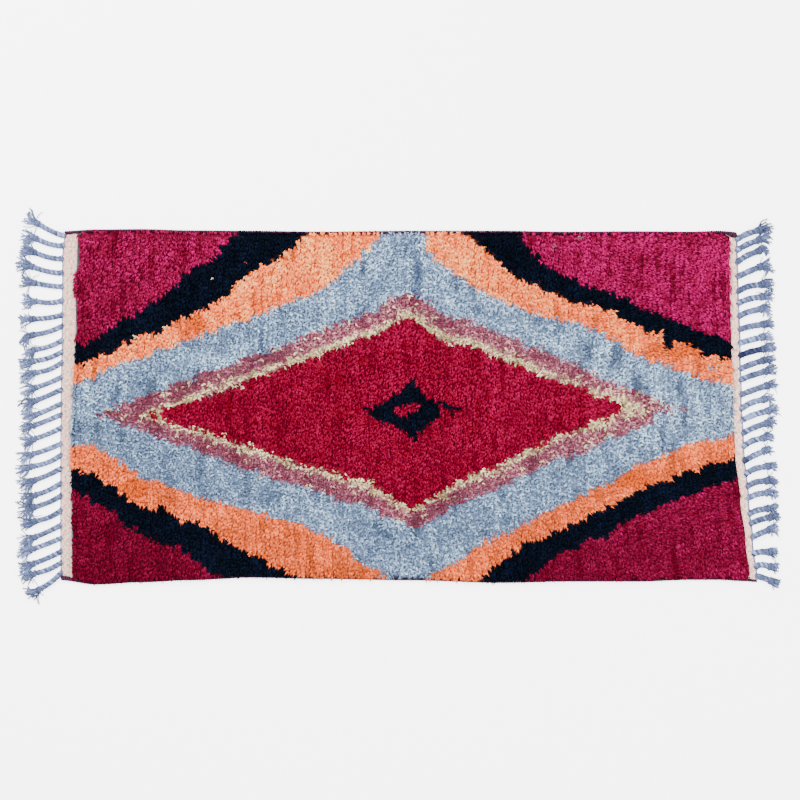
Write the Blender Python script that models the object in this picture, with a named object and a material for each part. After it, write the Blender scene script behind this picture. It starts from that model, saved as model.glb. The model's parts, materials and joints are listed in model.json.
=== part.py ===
"""A hand-knotted wool rug lying flat, seen from above with its warps along X.

Metres, +Z up. The origin is the middle of the underside, on the floor, below the small
motif at the centre of the field. +X runs along the rug to its shorter fringe and +Y runs
across it to the far long edge.

A thin ground weave carries the pile, which is a lumpy slab with loose locks at its rim.
A round overcast selvedge runs along each long edge. At each end a narrow strip of the
weave holds a row of warp tassels, each a twisted cord, a knot and a brush of three tails.
"""

import math
import random

import bmesh
import bpy
from mathutils import Euler, Vector, noise

# Thickness of the layers
WEAVE_THICK = 0.003
PILE_TOP = 0.0150
PILE_SHOULDER = 0.0125
PILE_BELLY = 0.0084
GAP = 0.0003
EDGE_GAP = 0.0008
PILE_CLEAR = 0.0012

# The long edges: place along X, then where the far and the near edge lie across Y
LONG_EDGES = (
    # along, far, near
    (-0.800, 0.404, -0.403),
    (-0.720, 0.408, -0.413),
    (-0.616, 0.409, -0.408),
    (-0.501, 0.406, -0.403),
    (-0.363, 0.405, -0.397),
    (-0.202, 0.403, -0.400),
    (0.005, 0.405, -0.403),
    (0.212, 0.405, -0.409),
    (0.373, 0.403, -0.406),
    (0.534, 0.404, -0.406),
    (0.649, 0.403, -0.402),
    (0.718, 0.405, -0.402),
    (0.775, 0.400, -0.405),
    (0.803, 0.399, -0.407),
)

# The ends: place across Y, then where the weave and the pile end at the left and the right
ENDS = (
    # across, left_weave, left_pile, right_pile, right_weave
    (-0.405, -0.799, -0.771, 0.789, 0.804),
    (-0.308, -0.800, -0.772, 0.778, 0.793),
    (-0.216, -0.800, -0.773, 0.766, 0.784),
    (-0.101, -0.800, -0.773, 0.754, 0.773),
    (0.014, -0.799, -0.770, 0.750, 0.767),
    (0.152, -0.797, -0.764, 0.745, 0.764),
    (0.267, -0.796, -0.766, 0.742, 0.760),
    (0.336, -0.796, -0.762, 0.739, 0.758),
    (0.405, -0.790, -0.761, 0.742, 0.757),
)

# Radius of the overcast selvedges, thicker at the knotted corner and at the worn corner
SELVEDGE_RADII = (
    # along, far, near
    (-0.800, 0.0035, 0.0060),
    (-0.782, 0.0035, 0.0058),
    (-0.768, 0.0035, 0.0035),
    (0.722, 0.0035, 0.0035),
    (0.752, 0.0058, 0.0035),
    (0.785, 0.0035, 0.0038),
    (0.804, 0.0035, 0.0038),
)
SELVEDGE_STEPS = 40
END_STEPS = 40

# Pile slab and its locks
PILE_CELLS_X = 64
PILE_CELLS_Y = 34
SHOULDER_INSET = 0.004
LUMP_HEIGHT = 0.0060
LUMP_LENGTH = 0.055
LUMP_SLICE = 3.7
TUFT_HEIGHT = 0.0022
RIM_RISE = 0.0007
LOCKS = 138
LOCK_INSET = 0.0014
LOCK_ROOT_SHARE = 0.62
LOCK_TIP_SCALE = 0.40
LOCK_LEAN = 0.35
END_LOCK_LENGTH = (0.008, 0.014)
SIDE_LOCK_LENGTH = (0.0028, 0.0052)
END_LOCK_DROP = 0.0022
SIDE_LOCK_LIFT = 0.0006
THICK_RADIUS = 0.0040
CORNER_REACH = 0.018

# Fringe: the tassels' common sizes
TASSELS = 27
STRIP_WIDTH = 0.0045
ROOT_WIDTH = 0.0090
CORD_WIDTH = 0.0104
CORD_HEIGHT = 0.0084
NECK_WIDTH = 0.0090
KNOT_WIDTH = 0.0160
KNOT_HEIGHT = 0.0118
KNOT_LENGTH = 0.0110
KNOT_MIDDLE = 0.25
FORK_WIDTH = 0.0132
FORK_HEIGHT = 0.0068
FORK_BULGE = 0.0016
TAIL_TIP_WIDTH = 0.0038
TAIL_TIP_HEIGHT = 0.0028
TAIL_SPREAD = math.radians(12.0)
COLLAR_AT = 0.12
MIDDLE_AT = 0.52
NECK_AT = 0.90
CORD_BOW = (0.0004, 0.0050)
KNOT_JITTER = 0.0016
LENGTH_JITTER = 0.0035
TURN_JITTER = math.radians(1.5)

# Each fringe: its first and last root across Y, and its random seed
FRINGES = {
    # side: (name, direction, first_root, last_root, seed)
    "left": ("fringe_left", -1.0, 0.3915, -0.3840, 11),
    "right": ("fringe_right", 1.0, 0.3790, -0.3915, 23),
}

# How far each root stands from its even place in the row, in millimetres, far end first
ROOT_SHIFTS = {
    "left": (
        0.0, 6.9, 6.9, 3.9, 2.3, 0.5, -2.5, 2.1, -1.2, 2.3, 8.0, 3.5, 4.6, 2.3,
        6.7, 5.8, -1.2, 3.0, 1.8, -2.0, -1.4, -5.8, -9.6, -9.9, -10.8, -6.4, 0.7,
    ),
    "right": (
        3.6, 8.4, 10.0, 7.6, 2.3, 4.8, 4.6, 4.1, 2.8, 3.2, 2.3, 6.9, 1.8, -1.4,
        2.1, 2.3, 0.5, -2.3, -3.0, -2.3, 0.5, -5.7, 1.8, -0.5, -8.7, -8.0, -0.8,
    ),
}

# Each row of tassels from its far end: how far the cord sweeps across Y, and the lengths
LEFT_ROW = (
    # share of the row, sweep, cord, tail
    (0.00, 0.028, 0.066, 0.031),
    (0.04, 0.016, 0.066, 0.034),
    (0.12, 0.016, 0.066, 0.034),
    (0.16, 0.009, 0.066, 0.032),
    (0.20, -0.002, 0.064, 0.031),
    (0.27, -0.020, 0.065, 0.032),
    (0.50, -0.025, 0.066, 0.034),
    (0.75, -0.026, 0.066, 0.036),
    (0.96, -0.026, 0.064, 0.034),
    (1.00, -0.036, 0.062, 0.032),
)
RIGHT_ROW = (
    # share of the row, sweep, cord, tail
    (0.00, 0.020, 0.050, 0.034),
    (0.08, 0.027, 0.055, 0.032),
    (0.16, 0.015, 0.053, 0.032),
    (0.24, 0.017, 0.053, 0.031),
    (0.28, 0.011, 0.053, 0.030),
    (0.40, 0.020, 0.056, 0.029),
    (0.52, 0.021, 0.059, 0.028),
    (0.64, 0.021, 0.051, 0.027),
    (0.76, 0.012, 0.044, 0.028),
    (0.84, 0.013, 0.040, 0.031),
    (0.88, 0.017, 0.038, 0.028),
    (0.92, 0.004, 0.032, 0.027),
    (0.96, 0.000, 0.030, 0.026),
    (1.00, -0.009, 0.030, 0.025),
)
ROWS = {"left": LEFT_ROW, "right": RIGHT_ROW}

# Finishes: colour, roughness
WEAVE_FINISH = ((0.79, 0.71, 0.63), 0.92)
PILE_FINISH = ((0.42, 0.02, 0.07), 0.95)
SELVEDGE_FINISH = ((0.08, 0.02, 0.08), 0.85)
FRINGE_FINISH = ((0.30, 0.36, 0.50), 0.90)


def clear_scene():
    for item in list(bpy.data.objects):
        bpy.data.objects.remove(item, do_unlink=True)


def rug_collection():
    group = bpy.data.collections.new("berber_rug")
    bpy.context.scene.collection.children.link(group)
    return group


def finish_material(name, finish):
    colour, roughness = finish
    material = bpy.data.materials.new(name)
    material.use_nodes = True
    shader = material.node_tree.nodes["Principled BSDF"]
    shader.inputs["Base Color"].default_value = (*colour, 1.0)
    shader.inputs["Roughness"].default_value = roughness
    shader.inputs["Metallic"].default_value = 0.0
    return material


def eased(table, column, at):
    """A table's column read at a place in its first column, on a smooth curve."""
    rows = list(table)
    if at <= rows[0][0]:
        return rows[0][column]
    if at >= rows[-1][0]:
        return rows[-1][column]
    for low, high in zip(rows, rows[1:]):
        if low[0] <= at <= high[0]:
            share = (at - low[0]) / (high[0] - low[0])
            smooth = share * share * (3.0 - 2.0 * share)
            return low[column] + smooth * (high[column] - low[column])
    return rows[-1][column]


def far_edge(x):
    return eased(LONG_EDGES, 1, x)


def near_edge(x):
    return eased(LONG_EDGES, 2, x)


def far_inner(x):
    """The far edge of the weave and pile, just inside the selvedge."""
    return far_edge(x) - 2.0 * eased(SELVEDGE_RADII, 1, x) - EDGE_GAP


def near_inner(x):
    return near_edge(x) + 2.0 * eased(SELVEDGE_RADII, 2, x) + EDGE_GAP


def left_weave(y):
    return eased(ENDS, 1, y)


def left_pile(y):
    return eased(ENDS, 2, y)


def right_pile(y):
    return eased(ENDS, 3, y)


def right_weave(y):
    return eased(ENDS, 4, y)


def long_stops():
    """The places along X where the long edges of the weave and the selvedges have a point."""
    start, end = LONG_EDGES[0][0], LONG_EDGES[-1][0]
    even = {start + i * (end - start) / SELVEDGE_STEPS for i in range(1, SELVEDGE_STEPS)}
    return sorted(even | {row[0] for row in SELVEDGE_RADII[1:-1]})


def place_in_outline(u, v, left, right, clear=0.0):
    """The point at shares u and v of the field between two end curves and the selvedges."""
    x = left(0.0) + u * (right(0.0) - left(0.0))
    y = 0.0
    for _ in range(4):
        low, high = near_inner(x) + clear, far_inner(x) - clear
        y = low + v * (high - low)
        x = left(y) + u * (right(y) - left(y))
    return x, y


def mesh_object(name, bm, material, group):
    bmesh.ops.recalc_face_normals(bm, faces=bm.faces[:])
    mesh = bpy.data.meshes.new(name)
    bm.to_mesh(mesh)
    bm.free()
    mesh.materials.append(material)
    item = bpy.data.objects.new(name, mesh)
    group.objects.link(item)
    return item


def outline_grid(cells_x, cells_y, left, right, height):
    """A flat grid that fills the outline between two end curves, at one height."""
    bm = bmesh.new()
    bmesh.ops.create_grid(bm, x_segments=cells_x, y_segments=cells_y, size=0.5)
    for vert in bm.verts:
        u, v = vert.co.x + 0.5, vert.co.y + 0.5
        x, y = place_in_outline(u, v, left, right, PILE_CLEAR)
        vert.co = Vector((x, y, height))
    return bm


def raise_region(bm, faces, height, keep_base):
    """Extrude a flat region to a height, and return the faces that were raised."""
    made = bmesh.ops.extrude_face_region(bm, geom=faces)
    for vert in (item for item in made["geom"] if isinstance(item, bmesh.types.BMVert)):
        vert.co.z = height
    if not keep_base:
        bmesh.ops.delete(bm, geom=faces, context="FACES")
    return [item for item in made["geom"] if isinstance(item, bmesh.types.BMFace)]


def make_ground_weave(group):
    """The foundation cloth: a flat outline between the selvedges and the fringe strips."""
    inset = STRIP_WIDTH + EDGE_GAP

    def corner(u, v):
        return place_in_outline(
            u, v, lambda y: left_weave(y) + inset, lambda y: right_weave(y) - inset
        )

    def long_side(v, edge):
        start, end = corner(0.0, v), corner(1.0, v)
        inner = [(x, edge(x)) for x in long_stops() if start[0] + inset < x < end[0] - inset]
        return [start, *inner, end]

    between = [i / END_STEPS for i in range(1, END_STEPS)]
    ring = long_side(0.0, near_inner)
    ring += [corner(1.0, v) for v in between]
    ring += reversed(long_side(1.0, far_inner))
    ring += [corner(0.0, 1.0 - v) for v in between]
    curve = bpy.data.curves.new("ground_weave", "CURVE")
    curve.dimensions = "2D"
    curve.fill_mode = "BOTH"
    curve.extrude = WEAVE_THICK / 2.0
    spline = curve.splines.new("POLY")
    spline.points.add(len(ring) - 1)
    for point, (x, y) in zip(spline.points, ring):
        point.co = (x, y, 0.0, 1.0)
    spline.use_cyclic_u = True
    curve.materials.append(finish_material("cream_weave", WEAVE_FINISH))
    item = bpy.data.objects.new("ground_weave", curve)
    item.location.z = WEAVE_THICK / 2.0
    group.objects.link(item)
    return item


def lump(x, y, tuft_random):
    """Height of the pile's top above its mean, from broad lumps and single tufts."""
    broad = noise.noise(Vector((x / LUMP_LENGTH, y / LUMP_LENGTH, LUMP_SLICE)))
    return LUMP_HEIGHT * broad + tuft_random.uniform(-TUFT_HEIGHT, TUFT_HEIGHT)


def upper_wall(bm, top_faces):
    """The faces of the pile's side wall that meet its top."""
    return [
        face
        for face in bm.faces
        if face not in top_faces
        and any(other in top_faces for edge in face.edges for other in edge.link_faces)
    ]


def shape_pile_top(top_faces):
    """Lower and draw in the rim of the top, and raise its lumps."""
    tuft_random = random.Random(5)
    tops = {vert for face in top_faces for vert in face.verts}
    rim = {vert for vert in tops if any(face not in top_faces for face in vert.link_faces)}
    for vert in sorted(tops, key=lambda item: (round(item.co.x, 4), round(item.co.y, 4))):
        x, y = vert.co.x, vert.co.y
        if vert in rim:
            vert.co.x *= 1.0 - SHOULDER_INSET / right_pile(0.0)
            vert.co.y *= 1.0 - SHOULDER_INSET / far_edge(0.0)
            vert.co.z = PILE_SHOULDER + tuft_random.uniform(0.0, RIM_RISE)
        else:
            vert.co.z = PILE_TOP + lump(x, y, tuft_random)


def beside_thick_selvedge(point):
    """Whether a place on the rim lies where a selvedge stands too high for a lock to pass."""
    column, edge = (1, far_inner) if point.y > 0.0 else (2, near_inner)
    if abs(point.y - edge(point.x)) > CORNER_REACH:
        return False
    return any(
        eased(SELVEDGE_RADII, column, point.x + step) > THICK_RADIUS
        for step in (-CORNER_REACH, 0.0, CORNER_REACH)
    )


def raise_lock(bm, face, lock_random):
    """Draw one loose lock of pile out of a face of the rim."""
    outward = face.normal.copy()
    outward.z = 0.0
    outward.normalize()
    at_end = abs(outward.x) > abs(outward.y)
    length = lock_random.uniform(*(END_LOCK_LENGTH if at_end else SIDE_LOCK_LENGTH))
    along = Vector((-outward.y, outward.x, 0.0))
    bmesh.ops.inset_individual(bm, faces=[face], thickness=LOCK_INSET, depth=0.0)
    centre = face.calc_center_median()
    for vert in face.verts:
        vert.co -= along * ((vert.co - centre).dot(along) * (1.0 - LOCK_ROOT_SHARE))
    tip = bmesh.ops.extrude_discrete_faces(bm, faces=[face])["faces"][0]
    lean = lock_random.uniform(-LOCK_LEAN, LOCK_LEAN)
    shift = (outward + along * lean) * length
    shift.z = -END_LOCK_DROP if at_end else SIDE_LOCK_LIFT
    for vert in tip.verts:
        vert.co = centre + (vert.co - centre) * LOCK_TIP_SCALE + shift


def make_pile(group):
    """The pile: a slab on the weave with a lumpy top, a round shoulder and rim locks."""
    floor_z = WEAVE_THICK + GAP
    bm = outline_grid(PILE_CELLS_X, PILE_CELLS_Y, left_pile, right_pile, floor_z)
    base = bm.faces[:]
    belly = raise_region(bm, base, PILE_BELLY, keep_base=True)
    top = raise_region(bm, belly, PILE_SHOULDER, keep_base=False)
    bmesh.ops.dissolve_faces(bm, faces=base, use_verts=False)
    bmesh.ops.recalc_face_normals(bm, faces=bm.faces[:])
    wall = upper_wall(bm, set(top))
    shape_pile_top(set(top))
    bm.normal_update()
    wall = [face for face in wall if not beside_thick_selvedge(face.calc_center_median())]
    wall.sort(key=lambda face: math.atan2(*face.calc_center_median().yx))
    lock_random = random.Random(8)
    chosen = {round(i * (len(wall) - 1) / (LOCKS - 1)) for i in range(LOCKS)}
    for index in sorted(chosen):
        raise_lock(bm, wall[index], lock_random)
    material = finish_material("crimson_pile", PILE_FINISH)
    return mesh_object("pile", bm, material, group)


def make_selvedge(name, edge, column, outward, group):
    """An overcast cord along a long edge, from the left weave's end to the right one's."""
    start = left_weave(edge(LONG_EDGES[0][0]))
    end = right_weave(edge(LONG_EDGES[-1][0]))
    stops = [start, *(x for x in long_stops() if start < x < end), end]
    curve = bpy.data.curves.new(name, "CURVE")
    curve.dimensions = "3D"
    curve.bevel_depth = 1.0
    curve.bevel_resolution = 2
    curve.use_fill_caps = True
    spline = curve.splines.new("POLY")
    spline.points.add(len(stops) - 1)
    for point, x in zip(spline.points, stops):
        radius = eased(SELVEDGE_RADII, column, x)
        point.co = (x, edge(x) - outward * radius, radius, 1.0)
        point.radius = radius
    curve.materials.append(finish_material(name + "_plum", SELVEDGE_FINISH))
    item = bpy.data.objects.new(name, curve)
    group.objects.link(item)
    return item


def tassel_plan(side):
    """Each tassel of a fringe: its root, its knot, its brush's turn and length, and its bow."""
    _, direction, first, last, seed = FRINGES[side]
    chance = random.Random(seed)
    weave = left_weave if side == "left" else right_weave
    plan = []
    for i in range(TASSELS):
        share = i / (TASSELS - 1)
        sweep, cord, tail = (eased(ROWS[side], column, share) for column in (1, 2, 3))
        sweep += chance.uniform(-KNOT_JITTER, KNOT_JITTER)
        cord += chance.uniform(-LENGTH_JITTER, LENGTH_JITTER)
        tail += chance.uniform(-LENGTH_JITTER, LENGTH_JITTER)
        root_y = first + share * (last - first) + 0.001 * ROOT_SHIFTS[side][i]
        root = Vector((weave(root_y), root_y, 0.0))
        knot = root + Vector((direction * math.sqrt(cord * cord - sweep * sweep), sweep, 0.0))
        turn = chance.uniform(-TURN_JITTER, TURN_JITTER)
        plan.append((root, knot, turn, tail, chance.uniform(*CORD_BOW)))
    return plan


def extrude_section(bm, face, corners, centre, across, width, height):
    """Extrude a face into the next rectangular section of a strand that lies on the floor."""
    made = bmesh.ops.extrude_discrete_faces(bm, faces=[face])["faces"][0]
    for vert, (sideways, upper) in zip(made.verts, corners):
        vert.co = centre + across * (0.5 * width * sideways)
        vert.co.z = height if upper else 0.0
    return made


def corner_signs(face, across):
    """For each corner of a face, its side across the strand and whether it is the upper one."""
    centre = face.calc_center_median()
    return [
        (1.0 if (vert.co - centre).dot(across) > 0.0 else -1.0, vert.co.z > centre.z)
        for vert in face.verts
    ]


def is_upright(edge):
    run = edge.verts[0].co - edge.verts[1].co
    return abs(run.z) > run.xy.length


def split_fork(bm, face, across, forward):
    """Cut a strand's end face into three upright columns, the middle one a little forward."""
    level = [edge for edge in face.edges if not is_upright(edge)]
    cut = bmesh.ops.subdivide_edges(bm, edges=level, cuts=2)
    fresh = {item for item in cut["geom_inner"] if isinstance(item, bmesh.types.BMVert)}
    for vert in fresh:
        vert.co += forward * FORK_BULGE
    beside = {other for vert in fresh for other in vert.link_faces}
    columns = [other for other in beside if len(other.verts) == 4]
    return sorted(columns, key=lambda other: other.calc_center_median().dot(across))


def make_tassel(bm, root_face, root, knot, turn, tail_length, bow):
    """One tassel: a cord out of the strip, a knot, and three tails side by side."""
    forward = (knot - root).normalized()
    across = Vector((-forward.y, forward.x, 0.0))
    reach = (knot - root).length
    corners = corner_signs(root_face, across)
    sections = (
        # share of the cord, sideways bow, width, height
        (COLLAR_AT, 0.0, CORD_WIDTH, CORD_HEIGHT),
        (MIDDLE_AT, bow, CORD_WIDTH, CORD_HEIGHT),
        (NECK_AT, 0.0, NECK_WIDTH, CORD_HEIGHT),
    )
    face = root_face
    for share, sideways, width, height in sections:
        centre = root + forward * (reach * share) + across * sideways
        face = extrude_section(bm, face, corners, centre, across, width, height)
    knot_centre = knot + forward * (KNOT_MIDDLE * KNOT_LENGTH)
    face = extrude_section(bm, face, corners, knot_centre, across, KNOT_WIDTH, KNOT_HEIGHT)
    brush = forward.copy()
    brush.rotate(Euler((0.0, 0.0, turn)))
    aside = Vector((-brush.y, brush.x, 0.0))
    fork = knot + forward * KNOT_LENGTH
    face = extrude_section(bm, face, corners, fork, aside, FORK_WIDTH, FORK_HEIGHT)
    columns = split_fork(bm, face, aside, brush)
    for column, lean in zip(columns, (-TAIL_SPREAD, 0.0, TAIL_SPREAD)):
        base = column.calc_center_median()
        base.z = 0.0
        ahead = brush * math.cos(lean) + aside * math.sin(lean)
        beside = Vector((-ahead.y, ahead.x, 0.0))
        signs = corner_signs(column, beside)
        tip = base + ahead * (tail_length - KNOT_LENGTH)
        extrude_section(bm, column, signs, tip, beside, TAIL_TIP_WIDTH, TAIL_TIP_HEIGHT)


def make_fringe(side, group):
    """A strip of weave along one end with its row of tassels drawn out of its outer wall."""
    name, direction = FRINGES[side][:2]
    weave = left_weave if side == "left" else right_weave
    plan = tassel_plan(side)
    middle_x = weave(0.0)
    stations = [near_inner(middle_x)]
    for root, *_ in reversed(plan):
        stations += [root.y - ROOT_WIDTH / 2.0, root.y + ROOT_WIDTH / 2.0]
    stations.append(far_inner(middle_x))
    bm = bmesh.new()
    bmesh.ops.create_grid(bm, x_segments=1, y_segments=len(stations) - 1, size=0.5)
    for vert in bm.verts:
        y = stations[round((vert.co.y + 0.5) * (len(stations) - 1))]
        outer = (vert.co.x > 0.0) == (direction > 0.0)
        vert.co = Vector((weave(y) - (0.0 if outer else direction * STRIP_WIDTH), y, 0.0))
    raise_region(bm, bm.faces[:], WEAVE_THICK, keep_base=True)
    bmesh.ops.recalc_face_normals(bm, faces=bm.faces[:])
    bm.normal_update()
    outer_wall = [face for face in bm.faces if face.normal.x * direction > 0.5]
    root_faces = [
        min(outer_wall, key=lambda item: abs(item.calc_center_median().y - tassel[0].y))
        for tassel in plan
    ]
    for face, tassel in zip(root_faces, plan):
        make_tassel(bm, face, *tassel)
    material = finish_material(name + "_wool", FRINGE_FINISH)
    return mesh_object(name, bm, material, group)


def main():
    clear_scene()
    group = rug_collection()
    make_ground_weave(group)
    make_pile(group)
    make_selvedge("selvedge_far", far_edge, 1, 1.0, group)
    make_selvedge("selvedge_near", near_edge, 2, -1.0, group)
    make_fringe("left", group)
    make_fringe("right", group)


main()
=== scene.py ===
"""Looks of a hand-knotted wool rug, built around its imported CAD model.

Metres, +Z up. +X runs along the rug to its shorter fringe, +Y across it to the far long edge.
The wool pile is made of single tufts that are set on points by Geometry Nodes. Cords, knots,
loose tails and the overcast selvedges are yarns swept along paths by Geometry Nodes.
"""

import json
import math
import random

import bpy
import numpy as np
from mathutils import Euler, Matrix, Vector, noise

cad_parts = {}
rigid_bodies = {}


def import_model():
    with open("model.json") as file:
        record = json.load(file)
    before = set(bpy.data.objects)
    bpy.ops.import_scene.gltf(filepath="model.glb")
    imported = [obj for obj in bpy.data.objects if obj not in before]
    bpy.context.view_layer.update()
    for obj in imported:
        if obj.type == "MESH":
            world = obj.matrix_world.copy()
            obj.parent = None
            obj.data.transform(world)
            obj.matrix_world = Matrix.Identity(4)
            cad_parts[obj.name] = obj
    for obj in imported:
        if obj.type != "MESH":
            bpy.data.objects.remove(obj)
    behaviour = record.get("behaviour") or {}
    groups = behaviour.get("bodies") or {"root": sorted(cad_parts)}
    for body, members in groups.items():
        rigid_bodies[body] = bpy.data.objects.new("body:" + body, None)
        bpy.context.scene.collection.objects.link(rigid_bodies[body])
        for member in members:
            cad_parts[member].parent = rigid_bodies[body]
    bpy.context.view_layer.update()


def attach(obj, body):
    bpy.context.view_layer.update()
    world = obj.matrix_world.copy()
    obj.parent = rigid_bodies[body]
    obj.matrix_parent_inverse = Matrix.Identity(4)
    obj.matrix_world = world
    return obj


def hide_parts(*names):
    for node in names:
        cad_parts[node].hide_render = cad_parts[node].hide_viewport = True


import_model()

# Layers, as in the CAD model
WEAVE_THICK = 0.003
PILE_TOP = 0.0150
PILE_SHOULDER = 0.0125
EDGE_GAP = 0.0008
PILE_CLEAR = 0.0012
LUMP_HEIGHT = 0.0060
LUMP_LENGTH = 0.055
LUMP_SLICE = 3.7

# Outline of the rug, as in the CAD model but for the ends of the far selvedge
LONG_EDGES = (
    # along, far, near
    (-0.800, 0.404, -0.403),
    (-0.720, 0.408, -0.413),
    (-0.616, 0.409, -0.408),
    (-0.501, 0.406, -0.403),
    (-0.363, 0.405, -0.397),
    (-0.202, 0.403, -0.400),
    (0.005, 0.405, -0.403),
    (0.212, 0.405, -0.409),
    (0.373, 0.403, -0.406),
    (0.534, 0.404, -0.406),
    (0.649, 0.403, -0.402),
    (0.718, 0.405, -0.402),
    (0.775, 0.400, -0.405),
    (0.803, 0.399, -0.407),
)
ENDS = (
    # across, left_weave, left_pile, right_pile, right_weave
    (-0.405, -0.799, -0.771, 0.789, 0.804),
    (-0.308, -0.800, -0.772, 0.778, 0.793),
    (-0.216, -0.800, -0.773, 0.766, 0.784),
    (-0.101, -0.800, -0.773, 0.754, 0.773),
    (0.014, -0.799, -0.770, 0.750, 0.767),
    (0.152, -0.797, -0.764, 0.745, 0.764),
    (0.267, -0.796, -0.766, 0.742, 0.760),
    (0.336, -0.796, -0.762, 0.739, 0.758),
    (0.405, -0.790, -0.761, 0.742, 0.757),
)
SELVEDGE_RADII = (
    # along, far, near: both ends of the far one are wound a little thicker than in the CAD model
    (-0.800, 0.0047, 0.0060),
    (-0.782, 0.0047, 0.0058),
    (-0.768, 0.0042, 0.0035),
    (-0.740, 0.0035, 0.0035),
    (0.722, 0.0035, 0.0035),
    (0.752, 0.0072, 0.0035),
    (0.785, 0.0035, 0.0038),
    (0.804, 0.0035, 0.0038),
)

# Tassels, as in the CAD model
TASSELS = 27
KNOT_LENGTH = 0.0110
KNOT_MIDDLE = 0.25
TAIL_SPREAD = math.radians(12.0)
CORD_BOW = (0.0004, 0.0050)
KNOT_JITTER = 0.0016
LENGTH_JITTER = 0.0035
TURN_JITTER = math.radians(1.5)
FRINGES = {
    # side: (node, direction, first_root, last_root, seed)
    "left": ("fringe_left", -1.0, 0.3915, -0.3840, 11),
    "right": ("fringe_right", 1.0, 0.3790, -0.3915, 23),
}
# How far each root stands from its even place in the row, in millimetres, far end first.
# The shifts were worked out from the roots' places in the photo.
ROOT_SHIFTS = {
    "left": (
        0.0, 6.9, 6.9, 3.9, 2.3, 0.5, -2.5, 2.1, -1.2, 2.3, 8.0, 3.5, 4.6, 2.3,
        6.7, 5.8, -1.2, 3.0, 1.8, -2.0, -1.4, -5.8, -9.6, -9.9, -10.8, -6.4, 0.7,
    ),
    "right": (
        3.6, 8.4, 10.0, 7.6, 2.3, 4.8, 4.6, 4.1, 2.8, 3.2, 2.3, 6.9, 1.8, -1.4,
        2.1, 2.3, 0.5, -2.3, -3.0, -2.3, 0.5, -5.7, 1.8, -0.5, -8.7, -8.0, -0.8,
    ),
}
LEFT_ROW = (
    # share of the row, sweep, cord, tail
    (0.00, 0.028, 0.066, 0.031),
    (0.04, 0.016, 0.066, 0.034),
    (0.12, 0.016, 0.066, 0.034),
    (0.16, 0.009, 0.066, 0.032),
    (0.20, -0.002, 0.064, 0.031),
    (0.27, -0.020, 0.065, 0.032),
    (0.50, -0.025, 0.066, 0.034),
    (0.75, -0.026, 0.066, 0.036),
    (0.96, -0.026, 0.064, 0.034),
    (1.00, -0.036, 0.062, 0.032),
)
RIGHT_ROW = (
    # share of the row, sweep, cord, tail
    (0.00, 0.020, 0.050, 0.034),
    (0.08, 0.027, 0.055, 0.032),
    (0.16, 0.015, 0.053, 0.032),
    (0.24, 0.017, 0.053, 0.031),
    (0.28, 0.011, 0.053, 0.030),
    (0.40, 0.020, 0.056, 0.029),
    (0.52, 0.021, 0.059, 0.028),
    (0.64, 0.021, 0.051, 0.027),
    (0.76, 0.012, 0.044, 0.028),
    (0.84, 0.013, 0.040, 0.031),
    (0.88, 0.017, 0.038, 0.028),
    (0.92, 0.004, 0.032, 0.027),
    (0.96, 0.000, 0.030, 0.026),
    (1.00, -0.009, 0.030, 0.025),
)
ROWS = {"left": LEFT_ROW, "right": RIGHT_ROW}

# Pattern: where each colour of the pile gives way to the next, going out from the middle line.
# Each row is a place along the rug and the place across it.
RED_FAR = (
    (-0.567, -0.008), (-0.530, 0.004), (-0.475, 0.022), (-0.375, 0.060), (-0.168, 0.133),
    (-0.074, 0.168), (0.002, 0.211), (0.087, 0.147), (0.154, 0.136), (0.334, 0.062),
    (0.396, 0.045), (0.427, 0.023), (0.453, 0.019), (0.483, 0.008), (0.495, -0.002),
)
RED_NEAR = (
    (-0.567, -0.022), (-0.552, -0.035), (-0.505, -0.047), (-0.475, -0.053), (-0.421, -0.073),
    (-0.253, -0.126), (-0.092, -0.175), (0.011, -0.236), (0.117, -0.166), (0.205, -0.133),
    (0.304, -0.085), (0.350, -0.059), (0.401, -0.050), (0.412, -0.036), (0.460, -0.025),
    (0.476, -0.013), (0.495, -0.004),
)
ECRU_FAR = (
    (-0.621, -0.021), (-0.375, 0.077), (-0.168, 0.150), (-0.074, 0.185), (0.002, 0.226),
    (0.087, 0.168), (0.154, 0.156), (0.334, 0.076), (0.397, 0.055), (0.415, 0.042),
    (0.450, 0.034), (0.490, 0.024), (0.528, 0.012), (0.549, -0.010),
)
ECRU_NEAR = (
    (-0.621, -0.021), (-0.421, -0.088), (-0.253, -0.144), (-0.092, -0.192), (0.011, -0.250),
    (0.117, -0.184), (0.205, -0.150), (0.304, -0.100), (0.350, -0.076), (0.397, -0.062),
    (0.427, -0.051), (0.467, -0.035), (0.490, -0.026), (0.537, -0.022), (0.549, -0.010),
)
PINK_FAR = (
    (-0.715, -0.016), (-0.375, 0.114), (-0.168, 0.188), (-0.074, 0.222), (0.002, 0.269),
    (0.087, 0.212), (0.154, 0.194), (0.334, 0.117), (0.610, -0.004),
)
PINK_NEAR = (
    (-0.715, -0.016), (-0.421, -0.126), (-0.253, -0.183), (-0.092, -0.230), (0.011, -0.280),
    (0.117, -0.222), (0.205, -0.187), (0.304, -0.139), (0.400, -0.097), (0.537, -0.046),
    (0.561, -0.025), (0.610, -0.004),
)
BLUE_FAR = (
    (-0.780, 0.045), (-0.660, 0.101), (-0.497, 0.159), (-0.361, 0.209), (-0.198, 0.271),
    (-0.127, 0.336), (-0.053, 0.404), (-0.030, 0.450), (0.010, 0.450), (0.028, 0.404),
    (0.055, 0.350), (0.156, 0.278), (0.292, 0.214), (0.391, 0.198), (0.524, 0.122),
    (0.676, 0.060), (0.790, 0.048),
)
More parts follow.
